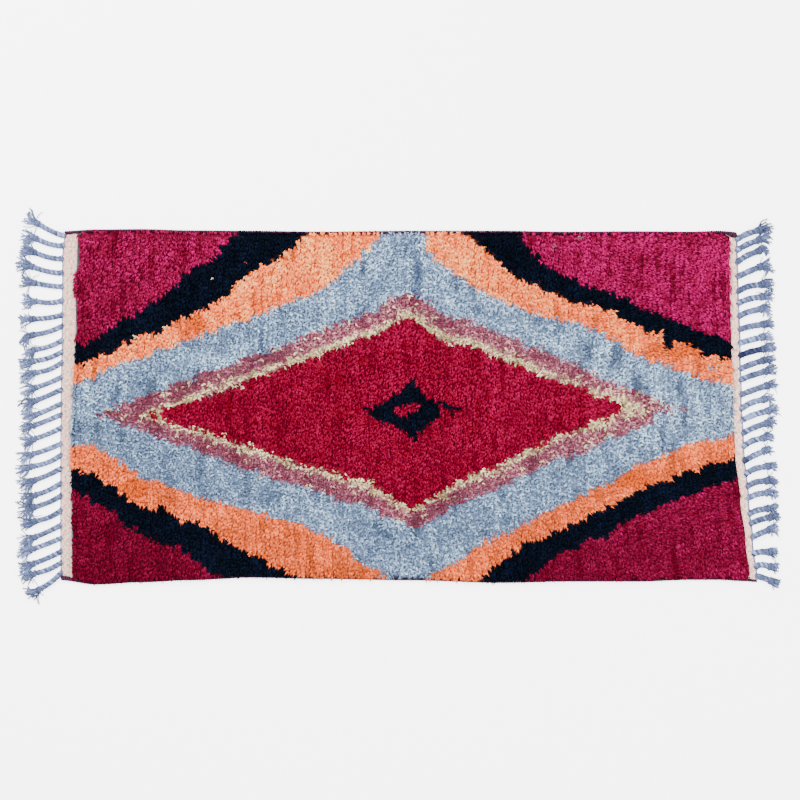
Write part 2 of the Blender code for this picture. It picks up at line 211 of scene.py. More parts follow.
BLUE_NEAR = (
    (-0.780, -0.084), (-0.713, -0.092), (-0.600, -0.168), (-0.437, -0.221), (-0.246, -0.269),
    (-0.135, -0.328), (-0.115, -0.355), (-0.053, -0.391), (-0.030, -0.450), (0.015, -0.450),
    (0.037, -0.398), (0.108, -0.354), (0.182, -0.308), (0.368, -0.218), (0.541, -0.131),
    (0.646, -0.087), (0.790, -0.056),
)
APRICOT_FAR = (
    (-0.780, 0.096), (-0.674, 0.128), (-0.655, 0.154), (-0.580, 0.172), (-0.534, 0.202),
    (-0.448, 0.235), (-0.375, 0.304), (-0.274, 0.361), (-0.235, 0.400), (-0.190, 0.470),
    (0.080, 0.470), (0.122, 0.403), (0.207, 0.340), (0.246, 0.304), (0.334, 0.262),
    (0.442, 0.221), (0.511, 0.198), (0.577, 0.161), (0.591, 0.127), (0.612, 0.152),
    (0.672, 0.122), (0.790, 0.094),
)
APRICOT_NEAR = (
    (-0.780, -0.140), (-0.720, -0.154), (-0.679, -0.186), (-0.600, -0.232), (-0.566, -0.232),
    (-0.529, -0.258), (-0.437, -0.283), (-0.414, -0.315), (-0.343, -0.340), (-0.253, -0.396),
    (-0.200, -0.470), (0.100, -0.470), (0.156, -0.402), (0.271, -0.315), (0.384, -0.262),
    (0.481, -0.221), (0.552, -0.177), (0.649, -0.145), (0.790, -0.100),
)
NAVY_FAR = (
    (-0.780, 0.149), (-0.727, 0.156), (-0.665, 0.202), (-0.596, 0.230), (-0.499, 0.315),
    (-0.435, 0.357), (-0.393, 0.403), (-0.340, 0.500), (0.180, 0.500), (0.239, 0.403),
    (0.304, 0.345), (0.363, 0.297), (0.421, 0.278), (0.559, 0.218), (0.665, 0.175),
    (0.790, 0.139),
)
NAVY_NEAR = (
    (-0.780, -0.184), (-0.720, -0.218), (-0.679, -0.232), (-0.658, -0.260), (-0.573, -0.311),
    (-0.527, -0.320), (-0.483, -0.361), (-0.428, -0.398), (-0.360, -0.500), (0.210, -0.500),
    (0.265, -0.402), (0.336, -0.347), (0.407, -0.308), (0.442, -0.299), (0.541, -0.246),
    (0.626, -0.205), (0.695, -0.186), (0.790, -0.143),
)
BANDS = (
    # yarn, far edge, near edge, height of its teeth
    ("crimson", RED_FAR, RED_NEAR, 0.0040),
    ("ecru", ECRU_FAR, ECRU_NEAR, 0.0040),
    ("dusty_pink", PINK_FAR, PINK_NEAR, 0.0070),
    ("blue_grey", BLUE_FAR, BLUE_NEAR, 0.0060),
    ("apricot", APRICOT_FAR, APRICOT_NEAR, 0.0080),
    ("navy", NAVY_FAR, NAVY_NEAR, 0.0080),
)
OUTER_YARN = "wine_red"
MIXED_IN = {"ecru": ("dusty_pink", 0.16), "dusty_pink": ("ecru", 0.05)}
MOTIF = (
    # across, left, right: the small stepped diamond in the middle, with its blunt left arm
    (0.064, 0.010, 0.015),
    (0.048, -0.001, 0.025),
    (0.043, -0.012, 0.028),
    (0.032, -0.030, 0.037),
    (0.018, -0.050, 0.056),
    (0.010, -0.056, 0.072),
    (0.004, -0.076, 0.077),
    (-0.008, -0.090, 0.077),
    (-0.020, -0.084, 0.070),
    (-0.028, -0.074, 0.060),
    (-0.030, -0.044, 0.055),
    (-0.048, -0.023, 0.030),
    (-0.058, -0.004, 0.021),
    (-0.076, 0.009, 0.016),
)
MOTIF_HOLE = (
    # along, across, half length, half width, slope: the slanted crimson middle of the diamond
    (0.001, -0.002, 0.035, 0.0105, 0.20),
    (-0.016, -0.017, 0.008, 0.008, 0.0),
)
KNOT_LINES = (
    # yarn, start, end, number of knots, size: short lines and single specks of small knots
    ("navy", (0.072, 0.013), (0.094, 0.003), 9, 0.85),
    ("navy", (0.096, 0.000), (0.122, -0.002), 7, 0.66),
    ("navy", (0.101, -0.008), (0.103, -0.016), 2, 0.66),
    ("navy", (-0.100, -0.003), (-0.092, -0.002), 3, 0.62),
    ("crimson", (-0.591, -0.012), (-0.586, -0.028), 5, 0.80),
    ("crimson", (-0.583, -0.012), (-0.580, -0.022), 3, 0.75),
    ("dusty_pink", (0.624, -0.004), (0.640, -0.008), 4, 0.60),
    ("ecru", (-0.423, -0.062), (-0.421, -0.070), 2, 0.55),
    ("ecru", (-0.361, -0.083), (-0.360, -0.088), 2, 0.60),
    ("ecru", (-0.382, 0.041), (-0.381, 0.045), 2, 0.55),
    ("ecru", (0.094, 0.143), (0.100, 0.140), 2, 0.60),
    ("ecru", (-0.451, 0.294), (-0.451, 0.292), 1, 0.42),
    ("ecru", (-0.561, 0.182), (-0.561, 0.180), 1, 0.60),
    ("ecru", (-0.631, 0.163), (-0.628, 0.160), 2, 0.60),
    ("dusty_pink", (0.334, 0.368), (0.338, 0.368), 2, 0.55),
    ("dusty_pink", (0.392, 0.389), (0.402, 0.388), 3, 0.60),
    ("dusty_pink", (-0.373, 0.331), (-0.373, 0.329), 1, 0.50),
    ("wine_red", (-0.756, 0.384), (-0.714, 0.378), 8, 0.50),
    ("blue_grey", (0.690, 0.086), (0.706, 0.085), 4, 0.60),
)
TINTED_SPOTS = (
    # yarn, along, across, half length, half width, least: where a yarn shows its second colour
    ("apricot", -0.483, 0.194, 0.020, 0.022, 0.85),
    ("apricot", -0.634, -0.183, 0.030, 0.022, 0.75),
    ("apricot", -0.057, 0.400, 0.010, 0.012, 0.45),
    ("apricot", 0.505, -0.163, 0.090, 0.020, 0.40),
    ("apricot", 0.600, 0.130, 0.070, 0.020, 0.40),
    ("dusty_pink", 0.000, 0.255, 0.040, 0.022, 0.55),
    ("blue_grey", -0.336, 0.175, 0.006, 0.035, 0.55),
    ("blue_grey", 0.016, 0.290, 0.008, 0.100, 0.55),
)
STREAKS = (
    # along, across, half length, half width, strength: darker rows of knots, painted shade of the grooves
    # where rows part
    (-0.336, 0.175, 0.009, 0.040, 0.30),
    (0.016, 0.310, 0.010, 0.090, 0.22),
    (-0.253, -0.305, 0.006, 0.040, 0.35),
    (-0.304, -0.195, 0.014, 0.030, 0.28),
)
LIGHT_ACROSS = 0.32
LIGHT_ALONG = 0.65
PILE_LIGHT = {
    # yarn: shade in the middle, painted light gain towards the far edge, painted light gain towards the
    # right end, contrast
    "crimson": (0.48, 0.06, 0.08, 0.58),
    "wine_red": (0.47, 0.17, 0.11, 0.66),
    "navy": (0.45, 0.00, 0.00, 0.80),
    "apricot": (0.44, 0.20, -0.02, 0.90),
    "blue_grey": (0.47, 0.07, 0.05, 1.00),
    "dusty_pink": (0.37, 0.07, 0.13, 0.95),
    "ecru": (0.38, 0.02, 0.02, 1.00),
}

# Pile
ROW_PITCH = 0.0108
KNOT_PITCH = 0.0066
KNOT_SHIFT = 0.0012
ROW_DRIFT = 0.0038
STEP_LENGTH = 2.0 * ROW_PITCH
STEP_SHARE = 0.6
TUFT_ROOT_DROP = 0.0086
TUFT_HEIGHT = 0.0092
TUFT_FORMS = 6
TUFT_STRANDS = 4
STRAND_SIDES = 3
STRAND_ROOT_RADIUS = 0.0014
STRAND_FLATNESS = 0.86
COMBED = {
    # how the locks of a knot lie: spread about the comb, sideways curl, length, thickness, droop
    "spread": math.radians(16.0), "curl": 0.16, "short": 0.0120, "long": 0.0172,
    "radius": 0.0021, "low": 0.70, "high": 1.00,
}
CURLY = {
    "spread": math.radians(72.0), "curl": 0.60, "short": 0.0095, "long": 0.0135,
    "radius": 0.0020, "low": 0.60, "high": 1.05,
}
BELLY_AT = 0.36
CURLY_YARNS = ("blue_grey", "dusty_pink", "ecru")
FAN_WIDTH = 0.0078
FAN_DEPTH = 0.0060
BASE_DROP = 0.0046
BASE_CELL = 0.0080
RIM_REACH = 0.012
RIM_LEAN = math.radians(30.0)
END_INSET = {"left": 0.0045, "right": 0.0098}
BARE_INSET = 0.0065
BARE_STRETCHES = ((0.163, 0.250), (0.316, 0.388))
NEAR_INSET = 0.0030
FAR_INSET = 0.0018
LAST_ROW_TURN = math.radians(40.0)
FAR_OUT = 0.75
SECOND_ROW_OUT = 0.0022

# Woven ends
RIB_PITCH = 0.0050
WEFT_PITCH = 0.0024
RIB_HEIGHT = 0.00055
WEFT_HEIGHT = 0.00022
UNDER_PILE = 0.010
TUCK = 0.0030
KNOT_BACK_CELL = 0.0085
FLOOR_GAP = 0.0001
WEAVE_BUMP = 0.0003
FEET_BUMP = 0.0012

# Selvedges and fringes
WRAP_PITCH = 0.0042
WRAP_STEPS = 7
WRAP_YARN = 0.0012
PLY_RADIUS = 0.0040
PLY_ORBIT = 0.0028
PLY_RISE = 0.42
ROOT_SHARE = 0.55
PLY_PITCH = 0.0108
PLY_STEP = 0.0015
CORD_Z = 0.0050
KNOT_ORBIT = 0.0050
KNOT_YARN = 0.0034
KNOT_RISE = 0.60
KNOT_Z = 0.0066
KNOT_POINTS = 26
TAIL_STRANDS = 28
TAIL_STRAYS = 4
TAIL_POINTS = 6
TAIL_YARN = 0.0023
STRAY_YARN = 0.0013
TAIL_REACH = {"left": (0.72, 1.22), "right": (0.66, 1.04)}
CORD_BULK = {"left": 1.04, "right": 1.20}
BRUSH_TURNS = {
    # side: how far each brush turns from its cord, in degrees, far end first
    "left": (
        -25, 40, 0, 5, -15, 5, -5, 45, 20, -5, 5, 0, 30, -25,
        -5, -20, 20, 5, 10, 25, 45, -15, 30, -5, 10, -5, -35,
    ),
    "right": (
        -30, -20, -75, -40, -20, -5, -45, -15, -15, -20, -25, -15, -15, -45,
        -10, -30, -35, -30, -35, -50, -45, -15, -25, -45, -30, -15, 5,
    ),
}
WIDE_BRUSHES = {
    # side: the numbers of the brushes that fan out widely
    "left": (1, 3, 5, 11, 15, 18, 19, 20, 23),
    "right": (0, 3, 5, 6, 11, 14, 15, 20, 22, 23),
}
GATHERS = (-0.0092, -0.0055, 0.0055, 0.0092)
TWINE = {
    # side: thickness and shade of the yarn twined along the outer edge of the band
    "left": (0.0009, 0.95),
    "right": (0.0013, 0.50),
}
TWINE_PITCH = 0.0085
DARK_TASSELS = {
    # side: ((number in the row from the far end, how far the dark reaches along the cord), ...)
    "left": (),
    "right": ((9, 1.0), (17, 0.30)),
}

# Camera and light, from the photograph's frame
FRAME_PIXELS = 800
METRES_PER_PIXEL = 0.0023
ORIGIN_PIXEL = (408, 406)
CAMERA_HEIGHT = 5.0
SENSOR = 36.0


def eased(table, column, at):
    """A table's column read at a place in its first column, on a smooth curve."""
    if at <= table[0][0]:
        return table[0][column]
    for low, high in zip(table, table[1:]):
        if at <= high[0]:
            share = (at - low[0]) / (high[0] - low[0])
            smooth = share * share * (3.0 - 2.0 * share)
            return low[column] + smooth * (high[column] - low[column])
    return table[-1][column]


def straight(table, column, at):
    """A table's column read at a place in its first column, on straight lines."""
    if at <= table[0][0]:
        return table[0][column]
    for low, high in zip(table, table[1:]):
        if at <= high[0]:
            share = (at - low[0]) / (high[0] - low[0])
            return low[column] + share * (high[column] - low[column])
    return table[-1][column]


def far_edge(x):
    return eased(LONG_EDGES, 1, x)


def near_edge(x):
    return eased(LONG_EDGES, 2, x)


def far_inner(x):
    return far_edge(x) - 2.0 * eased(SELVEDGE_RADII, 1, x) - EDGE_GAP


def near_inner(x):
    return near_edge(x) + 2.0 * eased(SELVEDGE_RADII, 2, x) + EDGE_GAP


def left_weave(y):
    return eased(ENDS, 1, y)


def left_pile(y):
    return eased(ENDS, 2, y)


def right_pile(y):
    return eased(ENDS, 3, y)


def right_weave(y):
    return eased(ENDS, 4, y)


def place_in_outline(u, v, left, right, clear=0.0):
    """The point at shares u and v of the field between two end curves and the selvedges."""
    x, y = left(0.0) + u * (right(0.0) - left(0.0)), 0.0
    for _ in range(4):
        low, high = near_inner(x) + clear, far_inner(x) - clear
        y = low + v * (high - low)
        x = left(y) + u * (right(y) - left(y))
    return x, y


def lump(x, y):
    return LUMP_HEIGHT * noise.noise(Vector((x / LUMP_LENGTH, y / LUMP_LENGTH, LUMP_SLICE)))


def rim_distance(x, y):
    """How far inside the pile's outline a place lies."""
    return min(
        x - left_pile(y),
        right_pile(y) - x,
        y - near_inner(x) - PILE_CLEAR,
        far_inner(x) - PILE_CLEAR - y,
    )


def pile_height(x, y):
    """Top of the pile: lumpy, and lower on the round shoulder at its rim."""
    share = max(0.0, min(1.0, rim_distance(x, y) / RIM_REACH))
    return PILE_SHOULDER + share * (PILE_TOP + lump(x, y) - PILE_SHOULDER)


def step_place(x):
    """A place moved towards the middle of its step: a colour's edge goes up by pairs of rows."""
    middle = (math.floor(x / STEP_LENGTH) + 0.5) * STEP_LENGTH
    return x + STEP_SHARE * (middle - x)


def tooth(x, seed):
    """How far a colour's ragged edge reaches out at a place: uneven steps of uneven rows."""
    step = noise.cell(Vector((math.floor(x / STEP_LENGTH) + 0.5, seed, 7.5)))
    row = noise.cell(Vector((math.floor(2.0 * x / STEP_LENGTH) + 0.5, seed, 0.5)))
    return 0.55 * step + 0.50 * row


def in_spot(x, y, spot):
    along, across, half_length, half_width = spot[1:5]
    return ((x - along) / half_length) ** 2 + ((y - across) / half_width) ** 2 <= 1.0


def motif_yarn(x, y):
    """The yarn of the small motif at a place, or None beside it."""
    found = None
    if MOTIF[-1][0] <= y <= MOTIF[0][0]:
        rows = MOTIF[::-1]
        if straight(rows, 1, y) <= x <= straight(rows, 2, y):
            found = "navy"
    for along, across, half_length, half_width, slope in MOTIF_HOLE:
        aside = y - across - slope * (x - along)
        if ((x - along) / half_length) ** 2 + (aside / half_width) ** 2 <= 1.0:
            found = "crimson"
    return found


def yarn_at(x, y, wander=0.0):
    """Which yarn is knotted at a place. wander moves the place across the rug a little."""
    found = motif_yarn(x, y)
    if found:
        return found
    y += wander
    stepped = step_place(x)
    for index, (yarn, far, near, teeth) in enumerate(BANDS):
        inside_tips = far[0][0] <= x <= far[-1][0] or index > 2
        if not inside_tips:
            continue
        high = straight(far, 1, stepped) + teeth * tooth(x, 11.0 + index)
        low = straight(near, 1, stepped) - teeth * tooth(x, 31.0 + index)
        if low <= y <= high:
            return yarn
    return OUTER_YARN


# Materials

def linear(*levels):
    """A colour read as screen levels from 0 to 255, as the shader's linear values."""
    shares = [level / 255.0 for level in levels]
    return tuple(s / 12.92 if s <= 0.04045 else ((s + 0.055) / 1.055) ** 2.4 for s in shares)


YARNS = {
    # yarn: (dark, middle, light, second colour)
    "crimson": (linear(80, 0, 17), linear(116, 9, 35), linear(158, 6, 68), linear(106, 0, 14)),
    "wine_red": (linear(76, 3, 22), linear(110, 13, 44), linear(162, 8, 86), linear(96, 6, 22)),
    "navy": (linear(2, 6, 12), linear(5, 9, 20), linear(12, 21, 42), linear(8, 16, 36)),
    "apricot": (linear(180, 78, 38), linear(240, 106, 58), linear(255, 176, 102), linear(180, 66, 0)),
    "blue_grey": (linear(66, 80, 102), linear(122, 144, 174), linear(204, 232, 250), linear(58, 74, 108)),
    "dusty_pink": (linear(88, 40, 56), linear(142, 80, 96), linear(240, 172, 176), linear(108, 34, 58)),
    "ecru": (linear(132, 114, 84), linear(216, 192, 148), linear(250, 238, 204), linear(142, 138, 98)),
}


def socket(group, name, kind, direction, value=None):
    made = group.interface.new_socket(name, in_out=direction, socket_type=kind)
    if value is not None:
        made.default_value = value
    return made


def node(tree, kind, **values):
    made = tree.nodes.new(kind)
    for name, value in values.items():
        setattr(made, name, value)
    return made


def wool_group():
    """Wool seen close: fibres, flecks, and painted shade at the roots, darker at the roots and a little
    lighter at the tips. It gives a colour and a height.
    """
    group = bpy.data.node_groups.new("wool_yarn", "ShaderNodeTree")
    for name in ("Dark", "Middle", "Light", "Second"):
        socket(group, name, "NodeSocketColor", "INPUT")
    for name in ("Shade", "Along", "Tint", "Fleck Scale", "Fibre Scale"):
        socket(group, name, "NodeSocketFloat", "INPUT")
    socket(group, "Color", "NodeSocketColor", "OUTPUT")
    socket(group, "Height", "NodeSocketFloat", "OUTPUT")
    socket(group, "Roughness", "NodeSocketFloat", "OUTPUT")
    link = group.links.new
    into = node(group, "NodeGroupInput")
    out = node(group, "NodeGroupOutput")
    place = node(group, "ShaderNodeTexCoord")
    fleck = node(group, "ShaderNodeTexNoise", noise_dimensions="3D")
    fleck.inputs["Detail"].default_value = 2.0
    link(place.outputs["Object"], fleck.inputs["Vector"])
    link(into.outputs["Fleck Scale"], fleck.inputs["Scale"])
    fibre = node(group, "ShaderNodeTexNoise", noise_dimensions="3D")
    fibre.inputs["Detail"].default_value = 3.0
    fibre.inputs["Roughness"].default_value = 0.7
    link(place.outputs["Object"], fibre.inputs["Vector"])
    link(into.outputs["Fibre Scale"], fibre.inputs["Scale"])

    def spread(source, low, high, to_low, to_high):
        ranged = node(group, "ShaderNodeMapRange", clamp=True)
        link(source, ranged.inputs["Value"])
        for name, value in (("From Min", low), ("From Max", high), ("To Min", to_low), ("To Max", to_high)):
            ranged.inputs[name].default_value = value
        return ranged.outputs["Result"]

    def added(first, second):
        total = node(group, "ShaderNodeMath", operation="ADD")
        link(first, total.inputs[0])
        link(second, total.inputs[1])
        return total.outputs[0]

    def mixed(share, first, second, blend="MIX"):
        mixer = node(group, "ShaderNodeMix", data_type="RGBA", blend_type=blend)
        link(share, mixer.inputs["Factor"])
        link(first, mixer.inputs[6])
        link(second, mixer.inputs[7])
        return mixer.outputs[2]

    tone = added(into.outputs["Shade"], spread(fleck.outputs["Fac"], 0.3, 0.7, -0.22, 0.22))
    tone = added(tone, spread(fibre.outputs["Fac"], 0.3, 0.7, -0.13, 0.13))
    # painted shade: darker towards the roots, a little lighter at the tips
    tone = added(tone, spread(into.outputs["Along"], 0.0, 1.0, -0.22, 0.10))
    low_half = mixed(spread(tone, 0.0, 0.5, 0.0, 1.0), into.outputs["Dark"], into.outputs["Middle"])
    colour = mixed(spread(tone, 0.5, 1.0, 0.0, 1.0), low_half, into.outputs["Light"])
    colour = mixed(spread(into.outputs["Tint"], 0.0, 1.0, 0.0, 0.8), colour, into.outputs["Second"])
    # painted shade at the roots: the colour is multiplied darker near each lock's root
    root_shade = node(group, "ShaderNodeMix", data_type="RGBA", blend_type="MULTIPLY")
    link(spread(into.outputs["Along"], 0.0, 0.5, 0.45, 0.0), root_shade.inputs["Factor"])
    link(colour, root_shade.inputs[6])
    root_shade.inputs[7].default_value = (0.42, 0.36, 0.40, 1.0)
    link(root_shade.outputs[2], out.inputs["Color"])
    link(added(fibre.outputs["Fac"], fleck.outputs["Fac"]), out.inputs["Height"])
    link(spread(fibre.outputs["Fac"], 0.3, 0.7, 0.98, 0.82), out.inputs["Roughness"])
    return group


def attribute(tree, name, output="Fac"):
    return node(tree, "ShaderNodeAttribute", attribute_name=name).outputs[output]


def wool_material(name, group, colours, fleck, fibre, bump):
    """A wool finish whose colours are four shades of one yarn."""
    material = bpy.data.materials.new(name)
    material.use_nodes = True
    tree = material.node_tree
    shader = tree.nodes["Principled BSDF"]
    wool = node(tree, "ShaderNodeGroup", node_tree=group)
    for label, colour in zip(("Dark", "Middle", "Light", "Second"), colours):
        wool.inputs[label].default_value = (*colour, 1.0)
    wool.inputs["Fleck Scale"].default_value = fleck
    wool.inputs["Fibre Scale"].default_value = fibre
    tone = node(tree, "ShaderNodeMath", operation="ADD")
    tree.links.new(attribute(tree, "shade"), tone.inputs[0])
    tree.links.new(attribute(tree, "lock"), tone.inputs[1])
    tree.links.new(tone.outputs[0], wool.inputs["Shade"])
    tree.links.new(attribute(tree, "along"), wool.inputs["Along"])
    tree.links.new(attribute(tree, "tint"), wool.inputs["Tint"])
    finish_wool(tree, shader, wool, bump)
    shader.inputs["Sheen Tint"].default_value = (*colours[2], 1.0)
    return material


def finish_wool(tree, shader, wool, bump):
    relief = node(tree, "ShaderNodeBump")
    relief.inputs["Strength"].default_value = 0.6
    relief.inputs["Distance"].default_value = bump
    tree.links.new(wool.outputs["Height"], relief.inputs["Height"])
    tree.links.new(relief.outputs["Normal"], shader.inputs["Normal"])
    tree.links.new(wool.outputs["Color"], shader.inputs["Base Color"])
    tree.links.new(wool.outputs["Roughness"], shader.inputs["Roughness"])
    shader.inputs["Specular IOR Level"].default_value = 0.02
    shader.inputs["Sheen Weight"].default_value = 0.06
    shader.inputs["Sheen Roughness"].default_value = 0.45


def dyed_material(name, group, bump):
    """A wool finish whose colour is stored on the mesh, for cloth that holds several yarns."""
    material = bpy.data.materials.new(name)
    material.use_nodes = True
    tree = material.node_tree
    shader = tree.nodes["Principled BSDF"]
    wool = node(tree, "ShaderNodeGroup", node_tree=group)
    dye = attribute(tree, "dye", "Color")
    darker = node(tree, "ShaderNodeMix", data_type="RGBA", blend_type="MULTIPLY")
    darker.inputs["Factor"].default_value = 1.0
    tree.links.new(dye, darker.inputs[6])
    darker.inputs[7].default_value = (0.62, 0.60, 0.60, 1.0)
    lighter = node(tree, "ShaderNodeMix", data_type="RGBA", blend_type="MIX")
    lighter.inputs["Factor"].default_value = 0.012
    tree.links.new(dye, lighter.inputs[6])
    lighter.inputs[7].default_value = (1.0, 0.97, 0.94, 1.0)
    tree.links.new(darker.outputs[2], wool.inputs["Dark"])
    tree.links.new(dye, wool.inputs["Middle"])
    tree.links.new(lighter.outputs[2], wool.inputs["Light"])
    tree.links.new(dye, wool.inputs["Second"])
    wool.inputs["Fleck Scale"].default_value = 260.0
    wool.inputs["Fibre Scale"].default_value = 900.0
    wool.inputs["Along"].default_value = 0.75
    tree.links.new(attribute(tree, "shade"), wool.inputs["Shade"])
    finish_wool(tree, shader, wool, bump)
    shader.inputs["Sheen Weight"].default_value = 0.0
    return material


# Mesh helpers

def mesh_of(name, points, faces=(), edges=()):
    mesh = bpy.data.meshes.new(name)
    mesh.from_pydata(points, edges, faces)
    mesh.update()
    return mesh


def store(mesh, name, values, kind="FLOAT"):
    """Store one value for each point of a mesh."""
    made = mesh.attributes.new(name, kind, "POINT")
    field = {"FLOAT": "value", "INT": "value", "FLOAT_VECTOR": "vector", "FLOAT_COLOR": "color"}[kind]
    made.data.foreach_set(field, np.array(values, dtype=np.int32 if kind == "INT" else np.float32).ravel())


def shown_object(name, mesh, smooth=True):
    item = bpy.data.objects.new(name, mesh)
    bpy.context.scene.collection.objects.link(item)
    if smooth:
        mesh.shade_smooth()
    return item


def keep(item, replaced):
    """Set a finished piece on the frame: its body, and the CAD node it stands for, which it hides."""
    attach(item, "root")
    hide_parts(replaced)
    return item


# Geometry Nodes

def node_tree(name, inputs):
    tree = bpy.data.node_groups.new(name, "GeometryNodeTree")
    socket(tree, "Geometry", "NodeSocketGeometry", "INPUT")
    for label, kind in inputs:
        socket(tree, label, kind, "INPUT")
    socket(tree, "Geometry", "NodeSocketGeometry", "OUTPUT")
    return tree


def named(tree, name, data_type):
    found = node(tree, "GeometryNodeInputNamedAttribute", data_type=data_type)
    found.inputs["Name"].default_value = name
    return found.outputs["Attribute"]


def finish_tree(tree, into, geometry):
    """End a tree in realized instances with a material."""
    link = tree.links.new
    real = node(tree, "GeometryNodeRealizeInstances")
    dressed = node(tree, "GeometryNodeSetMaterial")
    out = node(tree, "NodeGroupOutput")
    link(geometry, real.inputs["Geometry"])
    link(real.outputs["Geometry"], dressed.inputs["Geometry"])
    link(into.outputs["Material"], dressed.inputs["Material"])
    link(dressed.outputs["Geometry"], out.inputs["Geometry"])


def tuft_tree():
    """Sets one of several tufts on each point, turned and sized by the point."""
    sockets = (("Tuft Forms", "NodeSocketCollection"), ("Material", "NodeSocketMaterial"))
    tree = node_tree("knotted_tufts", sockets)
    link = tree.links.new
    into = node(tree, "NodeGroupInput")
    forms = node(tree, "GeometryNodeCollectionInfo")
    forms.inputs["Separate Children"].default_value = True
    forms.inputs["Reset Children"].default_value = True
    turn = node(tree, "FunctionNodeEulerToRotation")
    place = node(tree, "GeometryNodeInstanceOnPoints")
    place.inputs["Pick Instance"].default_value = True
    link(into.outputs["Tuft Forms"], forms.inputs["Collection"])
    link(named(tree, "turn", "FLOAT_VECTOR"), turn.inputs["Euler"])
    link(into.outputs["Geometry"], place.inputs["Points"])
    link(forms.outputs["Instances"], place.inputs["Instance"])
    link(named(tree, "form", "INT"), place.inputs["Instance Index"])
    link(turn.outputs["Rotation"], place.inputs["Rotation"])
    link(named(tree, "size", "FLOAT"), place.inputs["Scale"])
    finish_tree(tree, into, place.outputs["Instances"])
    return tree


def yarn_tree():
    """Sweeps a round yarn along each line of edges, as thick as the line's points say."""
    tree = node_tree("swept_yarns", (("Sides", "NodeSocketInt"), ("Material", "NodeSocketMaterial")))
    link = tree.links.new
    into = node(tree, "NodeGroupInput")
    lines = node(tree, "GeometryNodeMeshToCurve")
    circle = node(tree, "GeometryNodeCurvePrimitiveCircle")
    circle.inputs["Radius"].default_value = 1.0
    sweep = node(tree, "GeometryNodeCurveToMesh")
    sweep.inputs["Fill Caps"].default_value = True
    smooth = node(tree, "GeometryNodeSetShadeSmooth")
    link(into.outputs["Geometry"], lines.inputs["Mesh"])
    link(into.outputs["Sides"], circle.inputs["Resolution"])
    link(lines.outputs["Curve"], sweep.inputs["Curve"])
    link(circle.outputs["Curve"], sweep.inputs["Profile Curve"])
    link(named(tree, "thick", "FLOAT"), sweep.inputs["Scale"])
    link(sweep.outputs["Mesh"], smooth.inputs["Geometry"])
    finish_tree(tree, into, smooth.outputs["Geometry"])
    return tree


def grown(name, source, tree, values):
    """Run a Geometry Nodes tree on a mesh and return the result as an object of its own."""
    seed_item = shown_object(name + "_source", source, smooth=False)
    modifier = seed_item.modifiers.new("grow", "NODES")
    modifier.node_group = tree
    by_name = {item.name: item.identifier for item in tree.interface.items_tree if item.in_out == "INPUT"}
    for label, value in values.items():
        modifier[by_name[label]] = value
    bpy.context.view_layer.update()
    evaluated = seed_item.evaluated_get(bpy.context.evaluated_depsgraph_get())
    mesh = bpy.data.meshes.new_from_object(evaluated)
    seed_item.modifiers.clear()
    bpy.data.objects.remove(seed_item, do_unlink=True)
    mesh.name = name
    return shown_object(name, mesh, smooth=False)


# Pile tufts

def strand(points, faces, along, root, heading, length, height, radius, curl, droop):
    """One tapered lock of wool: up from its root, then over to one side, closed at both ends."""
    ahead = Vector((math.cos(heading), math.sin(heading), 0.0))
    aside = Vector((-ahead.y, ahead.x, 0.0))
    middle = root + ahead * (BELLY_AT * length) - aside * (0.3 * curl) + Vector((0.0, 0.0, height))
    tip = root + ahead * length + aside * curl + Vector((0.0, 0.0, height * droop))
    start = len(points)
    rings = ((root, STRAND_ROOT_RADIUS, 0.0), (middle, radius, 0.6))
    for centre, reach, share in rings:
        for side in range(STRAND_SIDES):
            angle = 2.0 * math.pi * (side + 0.25) / STRAND_SIDES
            lift = Vector((0.0, 0.0, 1.0)) if share else ahead
            flat = STRAND_FLATNESS if share else 1.0
            points.append(centre + (aside * math.cos(angle) / flat + lift * math.sin(angle) * flat) * reach)
            along.append(share)
    points.append(tip)
    along.append(1.0)
    top = start + 2 * STRAND_SIDES
    faces.append(tuple(start + side for side in reversed(range(STRAND_SIDES))))
    for side in range(STRAND_SIDES):
        after = (side + 1) % STRAND_SIDES
        lower, upper = start + side, start + STRAND_SIDES + side
        faces.append((lower, start + after, start + STRAND_SIDES + after, upper))
        faces.append((upper, start + STRAND_SIDES + after, top))


def make_tuft_forms():
    """Different knots of wool, each a fan of short curved locks: combed ones, then curly ones."""
    group = bpy.data.collections.new("tuft_forms")
    bpy.context.scene.collection.children.link(group)
    chance = random.Random(41)
    for number in range(2 * TUFT_FORMS):
        lay = COMBED if number < TUFT_FORMS else CURLY
        points, faces, along, lock = [], [], [], []
        for index in range(TUFT_STRANDS):
            place = (index + 0.5) / TUFT_STRANDS - 0.5
            root = Vector((chance.uniform(-0.7, 0.3) * FAN_DEPTH, place * FAN_WIDTH, 0.0))
            heading = place * lay["spread"] + chance.uniform(-0.8, 0.8) * lay["spread"]
            length = chance.uniform(lay["short"], lay["long"])
            height = TUFT_HEIGHT * chance.uniform(0.74, 1.0)
            curl = chance.uniform(-1.0, 1.0) * lay["curl"] * length
            droop = chance.uniform(lay["low"], lay["high"])
            strand(points, faces, along, root, heading, length, height, lay["radius"], curl, droop)
            lock += [chance.uniform(-0.15, 0.15)] * (len(points) - len(lock))
        mesh = mesh_of("tuft_form_{:02d}".format(number), points, faces)
        store(mesh, "along", along)
        store(mesh, "lock", lock)
        mesh.shade_smooth()
        group.objects.link(bpy.data.objects.new(mesh.name, mesh))
    return group


def row_streak(row, y):
    """Rows of knots stand a little apart from their neighbours, light or dark, for a stretch."""
    return noise.noise(Vector((row * 0.83, y / 0.080, 2.2)))


